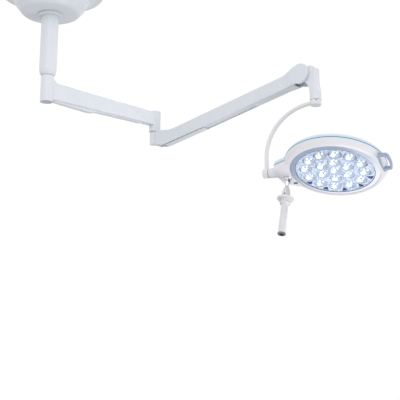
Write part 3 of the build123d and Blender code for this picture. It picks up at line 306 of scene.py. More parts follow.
def piece(name, vertices, faces, material, body, slot=None, replaces=(), sharp=SHARP):
    """A smooth-shaded mesh object that rides on a body; edges over the sharp angle stay crisp."""
    mesh = bpy.data.meshes.new(name)
    mesh.from_pydata([tuple(v) for v in vertices], [], faces)
    tidy = bmesh.new()
    tidy.from_mesh(mesh)
    bmesh.ops.remove_doubles(tidy, verts=tidy.verts, dist=1e-7)
    bmesh.ops.dissolve_degenerate(tidy, edges=tidy.edges, dist=1e-7)
    bmesh.ops.recalc_face_normals(tidy, faces=tidy.faces)
    for face in tidy.faces:
        face.smooth = True
    for edge in tidy.edges:
        edge.smooth = len(edge.link_faces) == 2 and edge.calc_face_angle(0) < sharp
    tidy.to_mesh(mesh)
    tidy.free()
    made = bpy.data.objects.new(name, mesh)
    bpy.context.scene.collection.objects.link(made)
    mesh.materials.append(material)
    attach(made, body)
    if replaces:
        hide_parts(*replaces)
    return made


def rounded(corners, radius, steps=5, closed=True):
    """Corners of an outline with each one turned into a short arc; a third value sets its own."""
    made = []
    count = len(corners)
    for index, corner in enumerate(corners):
        here = Vector(corner[:2])
        size = corner[2] if len(corner) > 2 else radius
        if not closed and index in (0, count - 1):
            made.append(tuple(here))
            continue
        to_last = Vector(corners[index - 1][:2]) - here
        to_next = Vector(corners[(index + 1) % count][:2]) - here
        half = to_last.angle(to_next) / 2
        if size <= 0 or half > math.radians(89):
            made.append(tuple(here))
            continue
        reach = min(size / math.tan(half), to_last.length * 0.48, to_next.length * 0.48)
        size = reach * math.tan(half)
        start = here + to_last.normalized() * reach
        end = here + to_next.normalized() * reach
        middle = (to_last.normalized() + to_next.normalized()).normalized()
        centre = here + middle * (size / math.sin(half))
        a = start - centre
        b = end - centre
        for step in range(steps + 1):
            mixed = a.lerp(b, step / steps)
            made.append(tuple(centre + mixed.normalized() * size))
    return made


def ring_faces(rows, segments, closed=False):
    """Quads that join each ring of points to the next, and the last to the first if closed."""
    faces = []
    for row in range(rows if closed else rows - 1):
        here = row * segments
        there = (row + 1) % rows * segments
        for index in range(segments):
            right = (index + 1) % segments
            faces.append((here + index, here + right, there + right, there + index))
    return faces


def lathe(name, place, profile, material, body, segments=96, closed=True, **more):
    """Turned piece about the place's Z axis from (radius, height) points."""
    vertices = []
    for radius, height in profile:
        for index in range(segments):
            angle = 2 * math.pi * index / segments
            vertices.append(place.at(radius * math.cos(angle), radius * math.sin(angle), height))
    faces = ring_faces(len(profile), segments, closed)
    return piece(name, vertices, faces, material, body, **more)


def tube(name, path, radius, material, body, segments=32, **more):
    """Round tube along a path of points in metres, closed at both ends."""
    vertices = []
    side = None
    for index, point in enumerate(path):
        ahead = path[min(index + 1, len(path) - 1)] - path[max(index - 1, 0)]
        ahead.normalize()
        if side is None:
            side = ahead.orthogonal().normalized()
        side = (side - ahead * side.dot(ahead)).normalized()
        other = ahead.cross(side)
        for step in range(segments):
            angle = 2 * math.pi * step / segments
            offset = side * math.cos(angle) + other * math.sin(angle)
            vertices.append(point + offset * radius * MM)
    faces = ring_faces(len(path), segments)
    faces.append(tuple(range(segments - 1, -1, -1)))
    last = (len(path) - 1) * segments
    faces.append(tuple(range(last, last + segments)))
    return piece(name, vertices, faces, material, body, **more)


def prism(name, place, outline, low, high, material, body, bevel=1.0, **more):
    """Flat piece with its outline in the place's X and Y, between two heights, edges rounded."""
    count = len(outline)
    vertices = [place.at(x, y, z) for z in (low, high) for x, y in outline]
    faces = [tuple(range(count - 1, -1, -1)), tuple(range(count, 2 * count))]
    for index in range(count):
        right = (index + 1) % count
        faces.append((index, right, count + right, count + index))
    made = piece(name, vertices, faces, material, body, **more)
    soften(made, bevel)
    return made


def soften(made, width, segments=3, angle=30):
    """Rounds the crisp edges of a piece and keeps its flats flat."""
    bevel = made.modifiers.new("edges", "BEVEL")
    bevel.width = width * MM
    bevel.segments = segments
    bevel.limit_method = "ANGLE"
    bevel.angle_limit = math.radians(angle)
    bevel.harden_normals = False
    shade = made.modifiers.new("shade", "WEIGHTED_NORMAL")
    shade.keep_sharp = True
    return made


def dress(name, material, width=0.0, angle=30):
    """Material, smooth shading and, where a width is given, rounded edges for a shown CAD node."""
    shown = NODES[name]
    shown.data.materials.clear()
    shown.data.materials.append(material)
    for face in shown.data.polygons:
        face.use_smooth = True
    weld = shown.modifiers.new("weld", "WELD")
    weld.merge_threshold = 1e-6
    if width:
        flat = shown.modifiers.new("flats", "DECIMATE")
        flat.decimate_type = "DISSOLVE"
        flat.angle_limit = math.radians(1.0)
        soften(shown, width, angle=angle)
    split = shown.modifiers.new("split", "EDGE_SPLIT")
    split.split_angle = math.radians(angle)
    split.use_edge_sharp = False


# ---- Carried-over CAD nodes ----
DRESSED = {
    PAINT: ("extension_arm", "elbow_knuckle"),
    COVER: ("end_cover", "cable_cover", "cover_screw", "strip_screw", "under_cover", "cable_strip"),
    GREY_CAP: ("hub_cap",),
    STEEL: (
        "ceiling_plate",
        "ceiling_tube",
        "flange_bolts",
        "hub_spindle",
        "hub_nut",
        "elbow_spindle",
        "elbow_nut",
        "elbow_pins",
        "head_pins",
        "spring_rod",
        "spring_seat",
        "parallel_rod",
        "arm_spring",
        "tilt_axle",
        "board_screws",
    ),
    ALUMINIUM: ("arm_beam", "heat_sink"),
    BRONZE: ("hub_bushes", "elbow_bushes", "head_bushes", "arm_bushes"),
    DARK: ("collar_screw", "yoke_screw"),
    SUPPLY: ("power_supply",),
    PLATE: ("lens_plate",),
    BOARD: ("led_board",),
    LINING: ("friction_washer",),
}
EDGES = {
    "extension_arm": 1.0,
    "elbow_knuckle": 1.2,
    "end_cover": 0.8,
    "cable_cover": 1.5,
    "under_cover": 0.6,
    "cable_strip": 2.0,
    "ceiling_plate": 1.0,
    "ceiling_tube": 1.0,
    "power_supply": 1.5,
    "hub_cap": 0.6,
}
for material, names in DRESSED.items():
    for name in names:
        dress(name, material, EDGES.get(name, 0.0))


# ---- Ceiling unit ----
def canopy():
    """Spun canopy: drum with a rounded lower edge that flows into the bowl below it."""
    wall = 3.0
    base, drum_r = -132.0, 243.0
    outer = rounded(
        [
            (39.8, base),
            (128, base, 30),
            (160, -92, 45),
            (172, -56, 22),
            (206, -38, 40),
            (drum_r, -30, 14),
            (drum_r, -2),
        ],
        14,
        9,
        False,
    )
    inner = []
    for index, (radius, height) in enumerate(outer):
        last = Vector(outer[max(index - 1, 0)])
        ahead = Vector(outer[min(index + 1, len(outer) - 1)])
        run = (ahead - last).normalized()
        inner.append((radius - run.y * wall, height + run.x * wall))
    inner[0] = (39.8, base + wall)
    inner[-1] = (drum_r - wall, -2)
    lathe(
        "canopy_shell",
        COLUMN,
        outer + inner[::-1],
        PAINT,
        "column",
        segments=160,
        slot="white_paint",
        replaces=("canopy",),
    )


def canopy_collar():
    """Clamp ring that holds the canopy up on the sleeve."""
    lathe(
        "canopy_collar_ring",
        COLUMN,
        rounded([(39.4, -144.2), (56, -144.2), (56, -132.2), (39.4, -132.2)], 2.2),
        PAINT,
        "column",
        slot="white_paint",
        replaces=("canopy_collar",),
    )


def column_sleeve():
    """Cover tube round the column, drawn in at its lower end."""
    lathe(
        "column_sleeve",
        COLUMN,
        rounded(
            [
                (39.4, -112),
                (39.4, -398, 30),
                (36.2, -417, 20),
                (30, -426, 1),
                (27.5, -426, 0.5),
                (33.4, -416),
                (37, -402),
                (37, -112),
            ],
            0.5,
            10,
        ),
        PAINT,
        "column",
        slot="white_paint",
        replaces=("tube_sleeve",),
    )


canopy()
canopy_collar()
column_sleeve()


# ---- Spring arm shells ----
CHEEK_ROWS = 26
CHEEK_SHARES = [0.5 - 0.5 * math.cos(math.pi * row / CHEEK_ROWS) for row in range(CHEEK_ROWS + 1)]
CHEEK_RIM = 3.0
CHEEK_WALL = 2.6
EAR_END = -10.0
EAR_FOOT = 80.0
LEVEL_START = 112.0
EAR_HEIGHT = 55.0
EAR_FOOT_HEIGHT = 29.0
LEVEL_HEIGHT = 27.0
CAP_RISE = 95.0
REAR_HEIGHT = -16.0
BASE_START, BASE_HEIGHT = 23.0, -32.0
COVER_START, COVER_HEIGHT = 290.0, -35.5
FRONT_GAP, FRONT_HEIGHT = 22.0, -36.0
ROOF_START = 68.0
ROOF_EDGE = 21.8
ROOF_SPLIT = 0.15
CAP_BLEND = 105.0
CAP_FLAT = 39.0
CAP_SWELL = 8.4


def cap_height(near):
    """Height of the round cap at a distance from the front pivot."""
    return math.sqrt(max(ARM_CAP_RADIUS**2 - near**2, 0))


def shell_top(x):
    """Height of the side's upper edge: the ear, the level run and the rise to the cap."""
    if x <= EAR_END:
        return EAR_HEIGHT + (x - EAR_END) * (EAR_HEIGHT - REAR_HEIGHT) / (EAR_END - ARM_START)
    if x < EAR_FOOT:
        return EAR_HEIGHT + (EAR_FOOT_HEIGHT - EAR_HEIGHT) * (x - EAR_END) / (EAR_FOOT - EAR_END)
    near = ARM_LENGTH - x
    if near > CAP_RISE:
        share = max(0.0, (LEVEL_START - x) / (LEVEL_START - EAR_FOOT))
        return LEVEL_HEIGHT + (EAR_FOOT_HEIGHT - LEVEL_HEIGHT) * share
    if near <= 0:
        return cap_height(near)
    share = (CAP_RISE - near) / CAP_RISE
    ease = (share * share * (3 - 2 * share)) ** 1.15
    return max(LEVEL_HEIGHT + (ARM_CAP_RADIUS - LEVEL_HEIGHT) * ease, cap_height(near))


def shell_base(x):
    """Height of the side's lower edge: the rear slope, two nearly level runs and the cap."""
    near = ARM_LENGTH - x
    if near <= FRONT_GAP:
        return -cap_height(near)
    if x < BASE_START:
        low, high, start, end = BASE_HEIGHT, REAR_HEIGHT, ARM_START, BASE_START
    elif x < COVER_START:
        low, high, start, end = COVER_HEIGHT, BASE_HEIGHT, BASE_START, COVER_START
    else:
        low, high, start, end = FRONT_HEIGHT, COVER_HEIGHT, COVER_START, ARM_LENGTH - FRONT_GAP
    return high + (low - high) * (x - start) / (end - start)


def flare(x, z):
    """Half width of the arm: it swells smoothly into the round cap over the front pivot."""
    distance = math.hypot(x - ARM_LENGTH, z)
    share = min(max((CAP_BLEND - distance) / (CAP_BLEND - CAP_FLAT), 0.0), 1.0)
    return ARM_HALF_WIDTH + CAP_SWELL * share * share * (3 - 2 * share)


def arm_stations():
    """Distances along the arm, closer together where its outline bends."""
    cap = ARM_LENGTH - CAP_BLEND
    made = [ARM_START + (EAR_END - ARM_START) * i / 6 for i in range(6)]
    made += [EAR_END + (EAR_FOOT - EAR_END) * i / 15 for i in range(15)]
    made += [EAR_FOOT + (LEVEL_START - EAR_FOOT) * i / 6 for i in range(6)]
    made += [LEVEL_START + (cap - LEVEL_START) * i / 26 for i in range(26)]
    made += [cap + CAP_BLEND * i / 42 for i in range(42)]
    made += [ARM_LENGTH + ARM_CAP_RADIUS * math.sin(math.pi / 2 * i / 26) for i in range(27)]
    return made


def rolled_edge(x, z, low, high):
    """How far the cheek's face rolls in near its rim."""
    depth = min(z - low, high - z)
    if x > ARM_LENGTH:
        depth = min(depth, ARM_CAP_RADIUS - math.hypot(x - ARM_LENGTH, z))
    if x < EAR_END:
        depth = min(depth, x - ARM_START)
    return CHEEK_RIM - math.sqrt(max(CHEEK_RIM**2 - max(CHEEK_RIM - depth, 0) ** 2, 0))


def cheek_points(side, stations):
    """Points of the cheek's outer face, with its rolled rim, and then of its plain inner face."""
    outer, inner = [], []
    for x in stations:
        low, high = shell_base(x), shell_top(x)
        if x == stations[-1]:
            low = high = 0.0
        for share in CHEEK_SHARES:
            z = low + (high - low) * share
            reach = flare(x, z) - rolled_edge(x, z, low, high)
            outer.append(SPRING_ARM.at(x, side * reach, z))
            inner.append(SPRING_ARM.at(x, side * (ARM_HALF_WIDTH - CHEEK_WALL), z))
    return outer + inner


def cheek_faces(columns):
    """Both faces of the cheek, and the strip round its edge that joins them."""
    step = CHEEK_ROWS + 1
    outer = columns * step
    faces = []
    for column in range(columns - 1):
        for row in range(CHEEK_ROWS):
            a = column * step + row
            b = a + step
            faces.append((a, a + 1, b + 1, b))
            faces.append((outer + a, outer + b, outer + b + 1, outer + a + 1))
    loop = [column * step for column in range(columns)]
    loop += [(columns - 1) * step + row for row in range(1, step)]
    loop += [column * step + CHEEK_ROWS for column in range(columns - 2, -1, -1)]
    loop += list(range(CHEEK_ROWS - 1, 0, -1))
    for index, a in enumerate(loop):
        b = loop[(index + 1) % len(loop)]
        faces.append((a, b, outer + b, outer + a))
    return faces


def roof_half(side, stations, first):
    """Half of the roof between the cheeks; its faces number their points from first."""
    covered = [x for x in stations if ROOF_START <= x <= ARM_LENGTH - 26]
    vertices = []
    for x in covered:
        high = shell_top(x)
        low = high - CHEEK_WALL
        for y, z in ((ROOF_SPLIT, high), (ROOF_EDGE, high), (ROOF_EDGE, low), (ROOF_SPLIT, low)):
            vertices.append(SPRING_ARM.at(x, side * y, z))
    last = (len(covered) - 1) * 4
    faces = ring_faces(len(covered), 4)
    faces += [(0, 1, 2, 3), (last + 3, last + 2, last + 1, last)]
    return vertices, [tuple(first + corner for corner in face) for face in faces]


def arm_side(side):
    """One side shell: its cheek with rolled edges, and its half of the roof."""
    stations = arm_stations()
    vertices = cheek_points(side, stations)
    roof, roof_faces = roof_half(side, stations, len(vertices))
    name = "left" if side > 0 else "right"
    covers = ["left_shell", "disc_caps"] if side > 0 else ["right_shell"]
    piece(
        f"{name}_arm_shell",
        vertices + roof,
        cheek_faces(len(stations)) + roof_faces,
        COVER,
        "spring_arm",
        slot="white_cover",
        replaces=covers,
        sharp=math.radians(50),
    )


arm_side(1)
arm_side(-1)


# ---- Arm head ----
def head_block():
    """Cast head: square at its ears, round where it meets the yoke."""
    head = HEAD_PIVOT.moved(x=HEAD_OFFSET)
    slope, slope_start = 0.35, 15
    stations = [
        (26.5, -39.5, -12, 16),
        (23.5, -41.4, -6, 19),
        (16, -41.6, 7.2, 20.2),
        (0, -41.6, 7.5, 20.2),
        (-25, -41.6, 8, 20.2),
        (-38, -41.4, 8.3, 20.6),
        (-50, -34.5, 9.6, 21.6),
        (-62, -26.4, 10.8, 23.4),
        (-72, -24.6, 13.4, 24.5),
        (-90, -24.6, 20.2, 24.6),
        (-104, -24.6, 24.6, 24.6),
        (-124.4, -24.6, 24.6, 24.6),
    ]
    segments = 64
    vertices = []
    for z, back, front, half in stations:
        centre = (back + front) / 2
        length = (front - back) / 2
        power = 2.0 + 5.0 * min(max((z + 76) / 36, 0.0), 1.0)
        for index in range(segments):
            angle = 2 * math.pi * index / segments
            c, s = math.cos(angle), math.sin(angle)
            x = centre + length * math.copysign(abs(c) ** (2 / power), c)
            y = half * math.copysign(abs(s) ** (2 / power), s)
            share = max(0.0, (z - slope_start) / slope_start)
            vertices.append(head.at(x, y, z - slope * (x - back) * share))
    faces = ring_faces(len(stations), segments)
    faces.append(tuple(range(segments)))
    last = (len(stations) - 1) * segments
    faces.append(tuple(range(last + segments - 1, last - 1, -1)))
    piece("head_casting", vertices, faces, PAINT, "arm_head", slot="white_paint")


dress("head_block", PAINT, 0.0)
head_block()


# ---- Yoke ----
def yoke():
    """Quarter bend of tube, the collar that turns in the arm head, and the hub of the lamp."""
    path = []
    for index in range(41):
        angle = math.pi / 2 * index / 40
        down = YOKE_RADIUS * (1 - math.cos(angle))
        path.append(YOKE.at(-YOKE_RADIUS * math.sin(angle), 0, TUBE_Z - down))
    straight = YOKE_DROP - 14
    for index in range(1, 9):
        path.append(YOKE.at(-YOKE_RADIUS, 0, TUBE_Z - YOKE_RADIUS - straight * index / 8))
    tube(
        "yoke_bend",
        path,
        YOKE_TUBE_RADIUS,
        YOKE_PAINT,
        "yoke",
        slot="white_paint",
        replaces=("yoke_tube",),
    )
    lathe(
        "yoke_collar_turned",
        YOKE,
        rounded(
            [(0, -25, 0), (21, -25), (24.2, -21), (24.2, -1), (12, -1, 0), (12, 40), (0, 40, 0)], 1.5
        ),
        YOKE_PAINT,
        "yoke",
        slot="white_paint",
        replaces=("yoke_collar",),
    )
    barrel = [
        (0, -314.5, 0),
        (17, -314.3, 6),
        (21, -310, 4),
        (21, -289.2, 1),
        (9.1, -289.2, 0),
        (9.1, -308, 0),
        (0, -308, 0),
    ]
    lathe(
        "yoke_hub_barrel",
        TILT_AXIS,
        rounded(barrel, 1.0),
        YOKE_PAINT,
        "yoke",
        slot="white_paint",
        replaces=("yoke_hub",),
    )


yoke()

# ---- Lamp head ----
NECK = (
    (-252, -42),
    (-199, -70),
    (-120, -90),
    (-120, 110),
    (-180, 96),
    (-214, 80),
    (-240, 72),
    (-247, 34),
    (-252, 20),
)
TURNS = 360


def neck_reach(angle):
    """Distance from the head's centre to the neck's outline in one direction."""
    ray = Vector((math.cos(angle), math.sin(angle)))
    best = 0.0
    for index, corner in enumerate(NECK_OUTLINE):
        a, b = Vector(corner), Vector(NECK_OUTLINE[(index + 1) % len(NECK_OUTLINE)])
        edge = b - a
        across = ray.x * edge.y - ray.y * edge.x
        if abs(across) < 1e-9:
            continue
        reach = (a.x * edge.y - a.y * edge.x) / across
        along = (a.x * ray.y - a.y * ray.x) / across
        if reach > 0 and -1e-6 <= along <= 1 + 1e-6:
            best = max(best, reach)
    return best


NECK_OUTLINE = rounded([(*corner, 7) for corner in NECK], 7, 5)
ANGLES = [2 * math.pi * (index + 0.5) / TURNS for index in range(TURNS)]
NECK_REACH = [neck_reach(angle) for angle in ANGLES]


def head_ring(radius, growth, z):
    """Outline of the head at one height: the round body or the neck, whichever reaches further."""
    ring = []
    for angle, neck in zip(ANGLES, NECK_REACH):
        reach = radius
        if growth is not None and neck > 0:
            reach = max(radius, neck + growth)
        ring.append((reach * math.cos(angle), reach * math.sin(angle), z))
    return ring


def loft(name, rings, material, closed=True, **more):
    """Skin over rings of points in the lamp's frame."""
    vertices = [LAMP.at(*point) for ring in rings for point in ring]
    faces = ring_faces(len(rings), TURNS, closed)
    return piece(name, vertices, faces, material, "lamp_head", **more)


def bezel():
    """Front body: flat rim, rounded edge and swelling side, with the neck growing out of it."""
    front = LAMP_FRONT
    side = []
    for index in range(11):
        share = index / 10
        bulge = 195.0 + 18.0 * share**0.72 - 5.5 * max(0.0, 1 - share / 0.16) ** 2
        side.append((bulge, front + (SEAM_LOW - front) * share))
    rings = [head_ring(186.2, None, front + 4.5), head_ring(186.2, None, front + 0.4)]
    rings += [head_ring(186.6, None, front), head_ring(189.5, -5.5, front)]
    for radius, z in side[1:]:
        early = max(0.0, 1 - (z - front) / 5)
        rings.append(head_ring(radius, (z - front) * 0.14 - 4.0 * early**2, z))
    rings.append(head_ring(side[-1][0] - 5, -1.5, SEAM_LOW))
    for radius, z in side[:0:-3]:
        rings.append(head_ring(radius - 4, -4 + (z - front) * 0.1, z - 0.5))
    rings.append(head_ring(189, -8, front + 3.5))
    loft("bezel_body", rings, BEZEL, slot="bezel_plastic", replaces=("lamp_bezel",))


def accent():
    """Light guide that fills the seam between the two halves of the body."""
    low, high = SEAM_LOW + 0.1, SEAM_HIGH - 0.1
    rings = [
        head_ring(207, -2.5, low),
        head_ring(213.2, 4.1, low),
        head_ring(213.7, 4.6, low + 0.6),
        head_ring(213.7, 4.6, high - 0.6),
        head_ring(213.2, 4.1, high),
        head_ring(207, -2.5, high),
    ]
    loft("accent_light_guide", rings, ACCENT, slot="accent", replaces=("accent_ring",))


def housing():
    """Back of the head: a low dome whose edge rolls down to the seam."""
    edge = [(213, 12.0), (212.8, 14), (212.2, 18), (210.6, 22.5), (207.6, 27.5), (203.5, 31.8)]
    rings = []
    for radius, z in edge:
        shrink = 3.9 - (z - SEAM_HIGH) * 0.14
        rings.append(head_ring(radius, shrink - 4.0 * max(0.0, (z - 29) / 5) ** 2, z))
    rings.append(head_ring(201.0, -4.0, 33.6))
    rings.append(head_ring(200.4, -6.0, 34.0))
    dome_radius, dome_foot, dome_rise, steps = 200.0, 34.1, 25.9, 14
    rings.append(head_ring(dome_radius, None, dome_foot))
    for index in range(1, steps + 1):
        radius = dome_radius * (1 - index / steps)
        z = dome_foot + dome_rise * (1 - (radius / dome_radius) ** 2.6) ** 0.9
        rings.append(head_ring(max(radius, 0.01), None, z))
    rings += [head_ring(0.01, None, 56.5), head_ring(120, None, 50.0)]
    rings += [head_ring(196.0, -3.0, 30.0), head_ring(209.0, -3.0, 20.0)]
    rings.append(head_ring(209.5, -0.6, SEAM_HIGH + 0.05))
    loft("back_housing", rings, HOUSING, slot="white_paint", replaces=("top_housing",))


def front_window():
    """Surround with painted shade and light (blue-grey, turning pale towards the far side), dark gasket
    and front glass.
    """
    lathe(
        "window_surround",
        LAMP,
        rounded(
            [
                (164.2, -18.7, 0.6),
                (166.5, -19.0, 0.6),
                (185.6, -14.2, 0.8),
                (185.8, -10.2, 0.4),
                (168.4, -10.2, 0.2),
                (168.4, -17.4, 0.2),
                (164.2, -17.4, 0.2),
            ],
            0.5,
            4,
        ),
        COVE,
        "lamp_head",
        segments=200,
        slot="cove",
        replaces=("cove_ring",),
    )
    lathe(
        "window_gasket",
        LAMP,
        rounded([(162.6, -18.5), (164.4, -18.9), (164.4, -17.6), (162.6, -17.6)], 0.3, 3),
        GASKET,
        "lamp_head",
        segments=200,
        slot="cove",
    )
    lathe(
        "window_glass",
        LAMP,
        rounded([(0, -17.5, 0), (167.8, -17.5, 0.5), (167.8, -14.1, 0.5), (0, -14.1, 0)], 0.5, 3),
        GLASS,
        "lamp_head",
        segments=160,
        slot="front_glass",
        replaces=("cover_glass",),
    )


def add_cup(centre, turn, vertices, faces):
    """Faceted bright cup: rings of points, each other ring turned by half a facet."""
    facets = 18
    rows = (
        (29.2, -11.8),
        (28.8, -13.0),
        (26.8, -13.3),
        (24.6, -10.6),
        (20.5, -7.6),
        (15.5, -5.0),
        (10.0, -3.4),
        (5.0, -3.6),
        (0.02, -4.6),
    )
    base = len(vertices)
    for row, (radius, z) in enumerate(rows):
        for facet in range(facets):
            angle = 2 * math.pi * (facet + 0.5 * (row % 2)) / facets + turn
            vertices.append(centre.at(radius * math.cos(angle), radius * math.sin(angle), z))
    for row in range(len(rows) - 1):
        for facet in range(facets):
            right = (facet + 1) % facets
            a, b = base + row * facets + facet, base + row * facets + right
            c, d = a + facets, b + facets
            if row % 2:
                faces += [(a, b, d), (a, d, c)]
            else:
                faces += [(a, b, c), (b, d, c)]


def add_dome(centre, vertices, faces):
    """Small round light source at the bottom of a cup."""
    radius, rise, foot = 3.8, 3.6, -4.0
    rows, segments = 5, 12
    base = len(vertices)
    for row in range(rows):
        lift = math.pi / 2 * row / (rows - 1)
        reach = max(radius * math.cos(lift), 0.02)
        height = foot - rise * math.sin(lift)
        for step in range(segments):
            angle = 2 * math.pi * step / segments
            vertices.append(centre.at(reach * math.cos(angle), reach * math.sin(angle), height))
    faces += [tuple(base + corner for corner in face) for face in ring_faces(rows, segments)]


def lens_field():
    """Nineteen optics in three rings: a faceted cup with three light sources in each."""
    cups, cup_faces = [], []
    domes, dome_faces = [], []
    for count, ring_radius, start in LENS_RINGS:
        for index in range(count):
            turn = math.radians(start + 360 * index / count)
            centre = LAMP.moved(x=ring_radius * math.cos(turn), y=ring_radius * math.sin(turn))
            add_cup(centre, turn, cups, cup_faces)
            for spot in range(3):
                way = turn + 2 * math.pi * spot / 3
                source = centre.moved(x=9.5 * math.cos(way), y=9.5 * math.sin(way))
                add_dome(source, domes, dome_faces)
    piece(
        "lens_cups",
        cups,
        cup_faces,
        CUP,
        "lamp_head",
        slot="lens_glass",
        replaces=("lenses",),
        sharp=math.radians(5),
    )
    piece("lens_domes", domes, dome_faces, LED, "lamp_head", slot="lens_glass")


def navy_inlays():
    """Dark navy patches between the outer optics, on the head's +Y side only."""
    count, ring_radius, start = LENS_RINGS[-1]
    corners = ((133, 0.0), (157, 4.5), (159, 0.0), (157, -4.5))  # radius, degrees aside
    least_sine = 0.3
    vertices, faces = [], []
    for index in range(count):
        middle = math.radians(start + (index + 0.5) * 360 / count)
        if math.sin(middle) < least_sine:
            continue
        base = len(vertices)
        for z in (-13.2, -12.0):
            for radius, swing in corners:
                angle = middle + math.radians(swing)
                vertices.append(LAMP.at(radius * math.cos(angle), radius * math.sin(angle), z))
        sheet = [(3, 2, 1, 0), (4, 5, 6, 7)] + ring_faces(2, 4)
        faces += [tuple(base + corner for corner in face) for face in sheet]
    piece("navy_inlays", vertices, faces, NAVY, "lamp_head", slot="lens_frame")


def side_loop():
    """Flat hand loop on the head's outer edge, with a slot for the fingers."""
    outer = rounded(
        [
            (197, -98, 4),
            (204, -91, 6),
            (230, -87, 7),
            (237, -74, 8),
            (240, -38, 30),
            (238.5, -6, 30),
            (233, 20, 9),
            (209, 25, 8),
            (196.5, 37, 4),
            (191, -30, 0),
        ],
        6,
        6,
    )
    slot = [(199, -75), (225, -75), (230, -40, 30), (229, -8, 30), (225, 11), (199, 11)]
    inner = rounded(slot, 6, 6)
    outline = bmesh.new()
    rings = []
    for z in (LAMP_FRONT, LAMP_FRONT + 13):
        for points in (outer, inner):
            rings.append([outline.verts.new(LAMP.at(x, y, z)) for x, y in points])
    low_outer, low_inner, high_outer, high_inner = rings
    for low, high in ((low_outer, high_outer), (low_inner, high_inner)):
        for index in range(len(low)):
            right = (index + 1) % len(low)
            outline.faces.new((low[index], low[right], high[right], high[index]))
    for pair in ((low_outer, low_inner), (high_outer, high_inner)):
        edges = []
        for ring in pair:
            for index in range(len(ring)):
                edges.append(outline.edges.get((ring[index], ring[(index + 1) % len(ring)])))
        bmesh.ops.triangle_fill(outline, edges=edges, use_beauty=True, use_dissolve=True)
    mesh = bpy.data.meshes.new("hand_loop")
    bmesh.ops.recalc_face_normals(outline, faces=outline.faces)
    outline.to_mesh(mesh)
    outline.free()
    made = bpy.data.objects.new("hand_loop", mesh)
    bpy.context.scene.collection.objects.link(made)
    mesh.materials.append(LOOP)
    for face in mesh.polygons:
        face.use_smooth = True
    soften(made, 1.8, 4)
    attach(made, "lamp_head")
    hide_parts("side_handle")


def sterile_handle():
    """Socket on the head, then the bell, grip, end ring and latch that turn in it."""
    socket = [
        (0, 1, 0),
        (19, 1),
        (19.4, -3),
        (16.5, -4.5),
        (14, -10, 6),
        (12.6, -22, 8),
        (7.4, -40, 3),
        (5, -43, 0.5),
        (5, -92, 0.5),
        (0, -92, 0),
    ]
    lathe(
        "handle_socket_cone",
        HANDLE,
        rounded(socket, 1.2),
        CHROME,
        "lamp_head",
        slot="socket_chrome",
        replaces=("handle_socket",),
    )
    bell = [
        (5.05, -45, 0),
        (8.6, -45, 1.5),
        (13, -54, 6),
        (17, -66, 10),
        (18, -77, 8),
        (18, -98, 0),
        (5.05, -98, 0),
    ]
    grip = [
        (0, -98, 0),
        (33, -98.5, 2),
        (36.5, -101, 1.2),
        (34, -104, 1.5),
        (21, -106, 2),
        (18.2, -110, 3),
        (18, -120, 1.5),
        (22.5, -121.5, 1),
        (22.5, -126, 1),
        (16.4, -129, 2.5),
        (15, -141, 20),
        (16, -264, 0.3),
        (12, -264, 0.3),
        (12, -140, 3),
        (0, -137, 0),
    ]
    for name, profile, node_name in (
        ("handle_bell_moulding", bell, "handle_bell"),
        ("handle_grip_moulding", grip, "handle_grip"),
    ):
        lathe(
            name,
            HANDLE,
            rounded(profile, 1.0),
            GRIP,
            "sterile_handle",
            slot="handle_plastic",
            replaces=(node_name,),
        )
    rim = [
        (12, -256),
        (10, -256),
        (10, -270),
        (15.6, -270),
        (17.5, -268),
        (17.5, -265.2),
        (16.4, -264.1),
        (12, -264.1),
    ]
    lathe(
        "handle_rim",
        HANDLE,
        rounded(rim, 0.7),
        END,
        "sterile_handle",
        slot="end_ring_plastic",
        replaces=("handle_end_ring",),
    )
    latch_height = -84
    latch = Place(HANDLE.at(0, 0, latch_height), HANDLE.x, -HANDLE.y)
    lathe(
        "handle_latch_button",
        latch,
        rounded([(0, 11, 0), (3.5, 11, 0.2), (3.5, 18.4, 0.6), (2.2, 18.8, 0.4), (0, 18.4, 0)], 0.4),
        BUTTON,
        "latch_pin",
        segments=32,
        slot="button_plastic",
        replaces=("handle_latch",),
    )


def power_button():
    """Oblong cap beside the neck that is pressed into the bezel."""
    prism(
        "power_button_cap",
        LAMP.moved(x=-188, y=65),
        rounded([(-9, -6), (9, -6), (9, 6), (-9, 6)], 3.5),
        LAMP_FRONT - 1,
        LAMP_FRONT + 4.8,
        BUTTON,
        "switch_cap",
        slot="button_plastic",
        replaces=("power_button",),
        bevel=0.8,
    )


bezel()
accent()
housing()
front_window()
lens_field()
navy_inlays()
side_loop()
sterile_handle()
lathe(
    "neck_sleeve",
    TILT_AXIS,
    rounded([(9, -286.8, 0), (21, -286.8, 0.8), (21, -246, 0.5), (9, -246, 0)], 0.8),
    PAINT,
    "lamp_head",
)
dress("neck_casting", PAINT)
power_button()


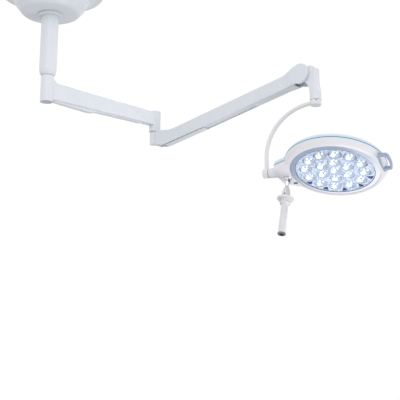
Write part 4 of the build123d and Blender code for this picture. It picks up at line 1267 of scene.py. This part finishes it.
# ---- Studio ----
def studio():
    """Pale floor below the light, white surroundings and three soft lamps."""
    floor_mesh = bpy.data.meshes.new("floor")
    size, low = 40.0, -2.9
    floor_mesh.from_pydata(
        [(-size, -size, low), (size, -size, low), (size, size, low), (-size, size, low)],
        [],
        [(0, 1, 2, 3)],
    )
    floor = bpy.data.objects.new("floor", floor_mesh)
    bpy.context.scene.collection.objects.link(floor)
    paint = surface(
        "pale_floor", (0.62, 0.62, 0.63), (0.60, 0.60, 0.61), (0.6, 0.8), patch=0.6, grain=8
    )
    floor_mesh.materials.append(paint)
    world = bpy.data.worlds.new("studio")
    bpy.context.scene.world = world
    world.use_nodes = True
    background = world.node_tree.nodes["Background"]
    background.inputs["Color"].default_value = (1.0, 1.0, 1.0, 1)
    background.inputs["Strength"].default_value = 1.02
    bpy.context.scene.view_settings.view_transform = "Standard"
    for name, place, aim, power, width in (
        ("key_light", (-3.2, -3.6, 1.4), (0.4, -0.5, -0.5), 36, 2.6),
        ("fill_light", (3.4, -3.4, -0.6), (0.5, -0.6, -0.6), 14, 3.0),
        ("low_light", (0.7, -1.5, -2.3), (0.75, -1.05, -0.95), 9, 0.9),
    ):
        lamp = bpy.data.lights.new(name, "AREA")
        lamp.energy = power
        lamp.size = width
        made = bpy.data.objects.new(name, lamp)
        bpy.context.scene.collection.objects.link(made)
        made.location = place
        towards = Vector(aim) - Vector(place)
        made.rotation_euler = towards.to_track_quat("-Z", "Y").to_euler()


def camera():
    """Camera at the photograph's viewing angle, looking slightly up from below the arms."""
    azimuth, pitch, roll = (math.radians(angle) for angle in (47.35, 11.61, 0.67))
    place = Vector((-2.203, -3.417, -1.813))
    forward = Vector(
        (math.cos(azimuth) * math.cos(pitch), math.sin(azimuth) * math.cos(pitch), math.sin(pitch))
    )
    right = forward.cross(UP).normalized()
    up = right.cross(forward)
    across = right * math.cos(roll) + up * math.sin(roll)
    above = up * math.cos(roll) - right * math.sin(roll)
    data = bpy.data.cameras.new("photo_view")
    data.sensor_width = 36.0
    data.lens = 83.785
    data.clip_end = 60
    made = bpy.data.objects.new("photo_view", data)
    bpy.context.scene.collection.objects.link(made)
    rows = [(across[i], above[i], -forward[i]) for i in range(3)]
    turn = Matrix(rows).to_4x4()
    made.matrix_world = Matrix.Translation(place) @ turn
    bpy.context.scene.camera = made


studio()
camera()
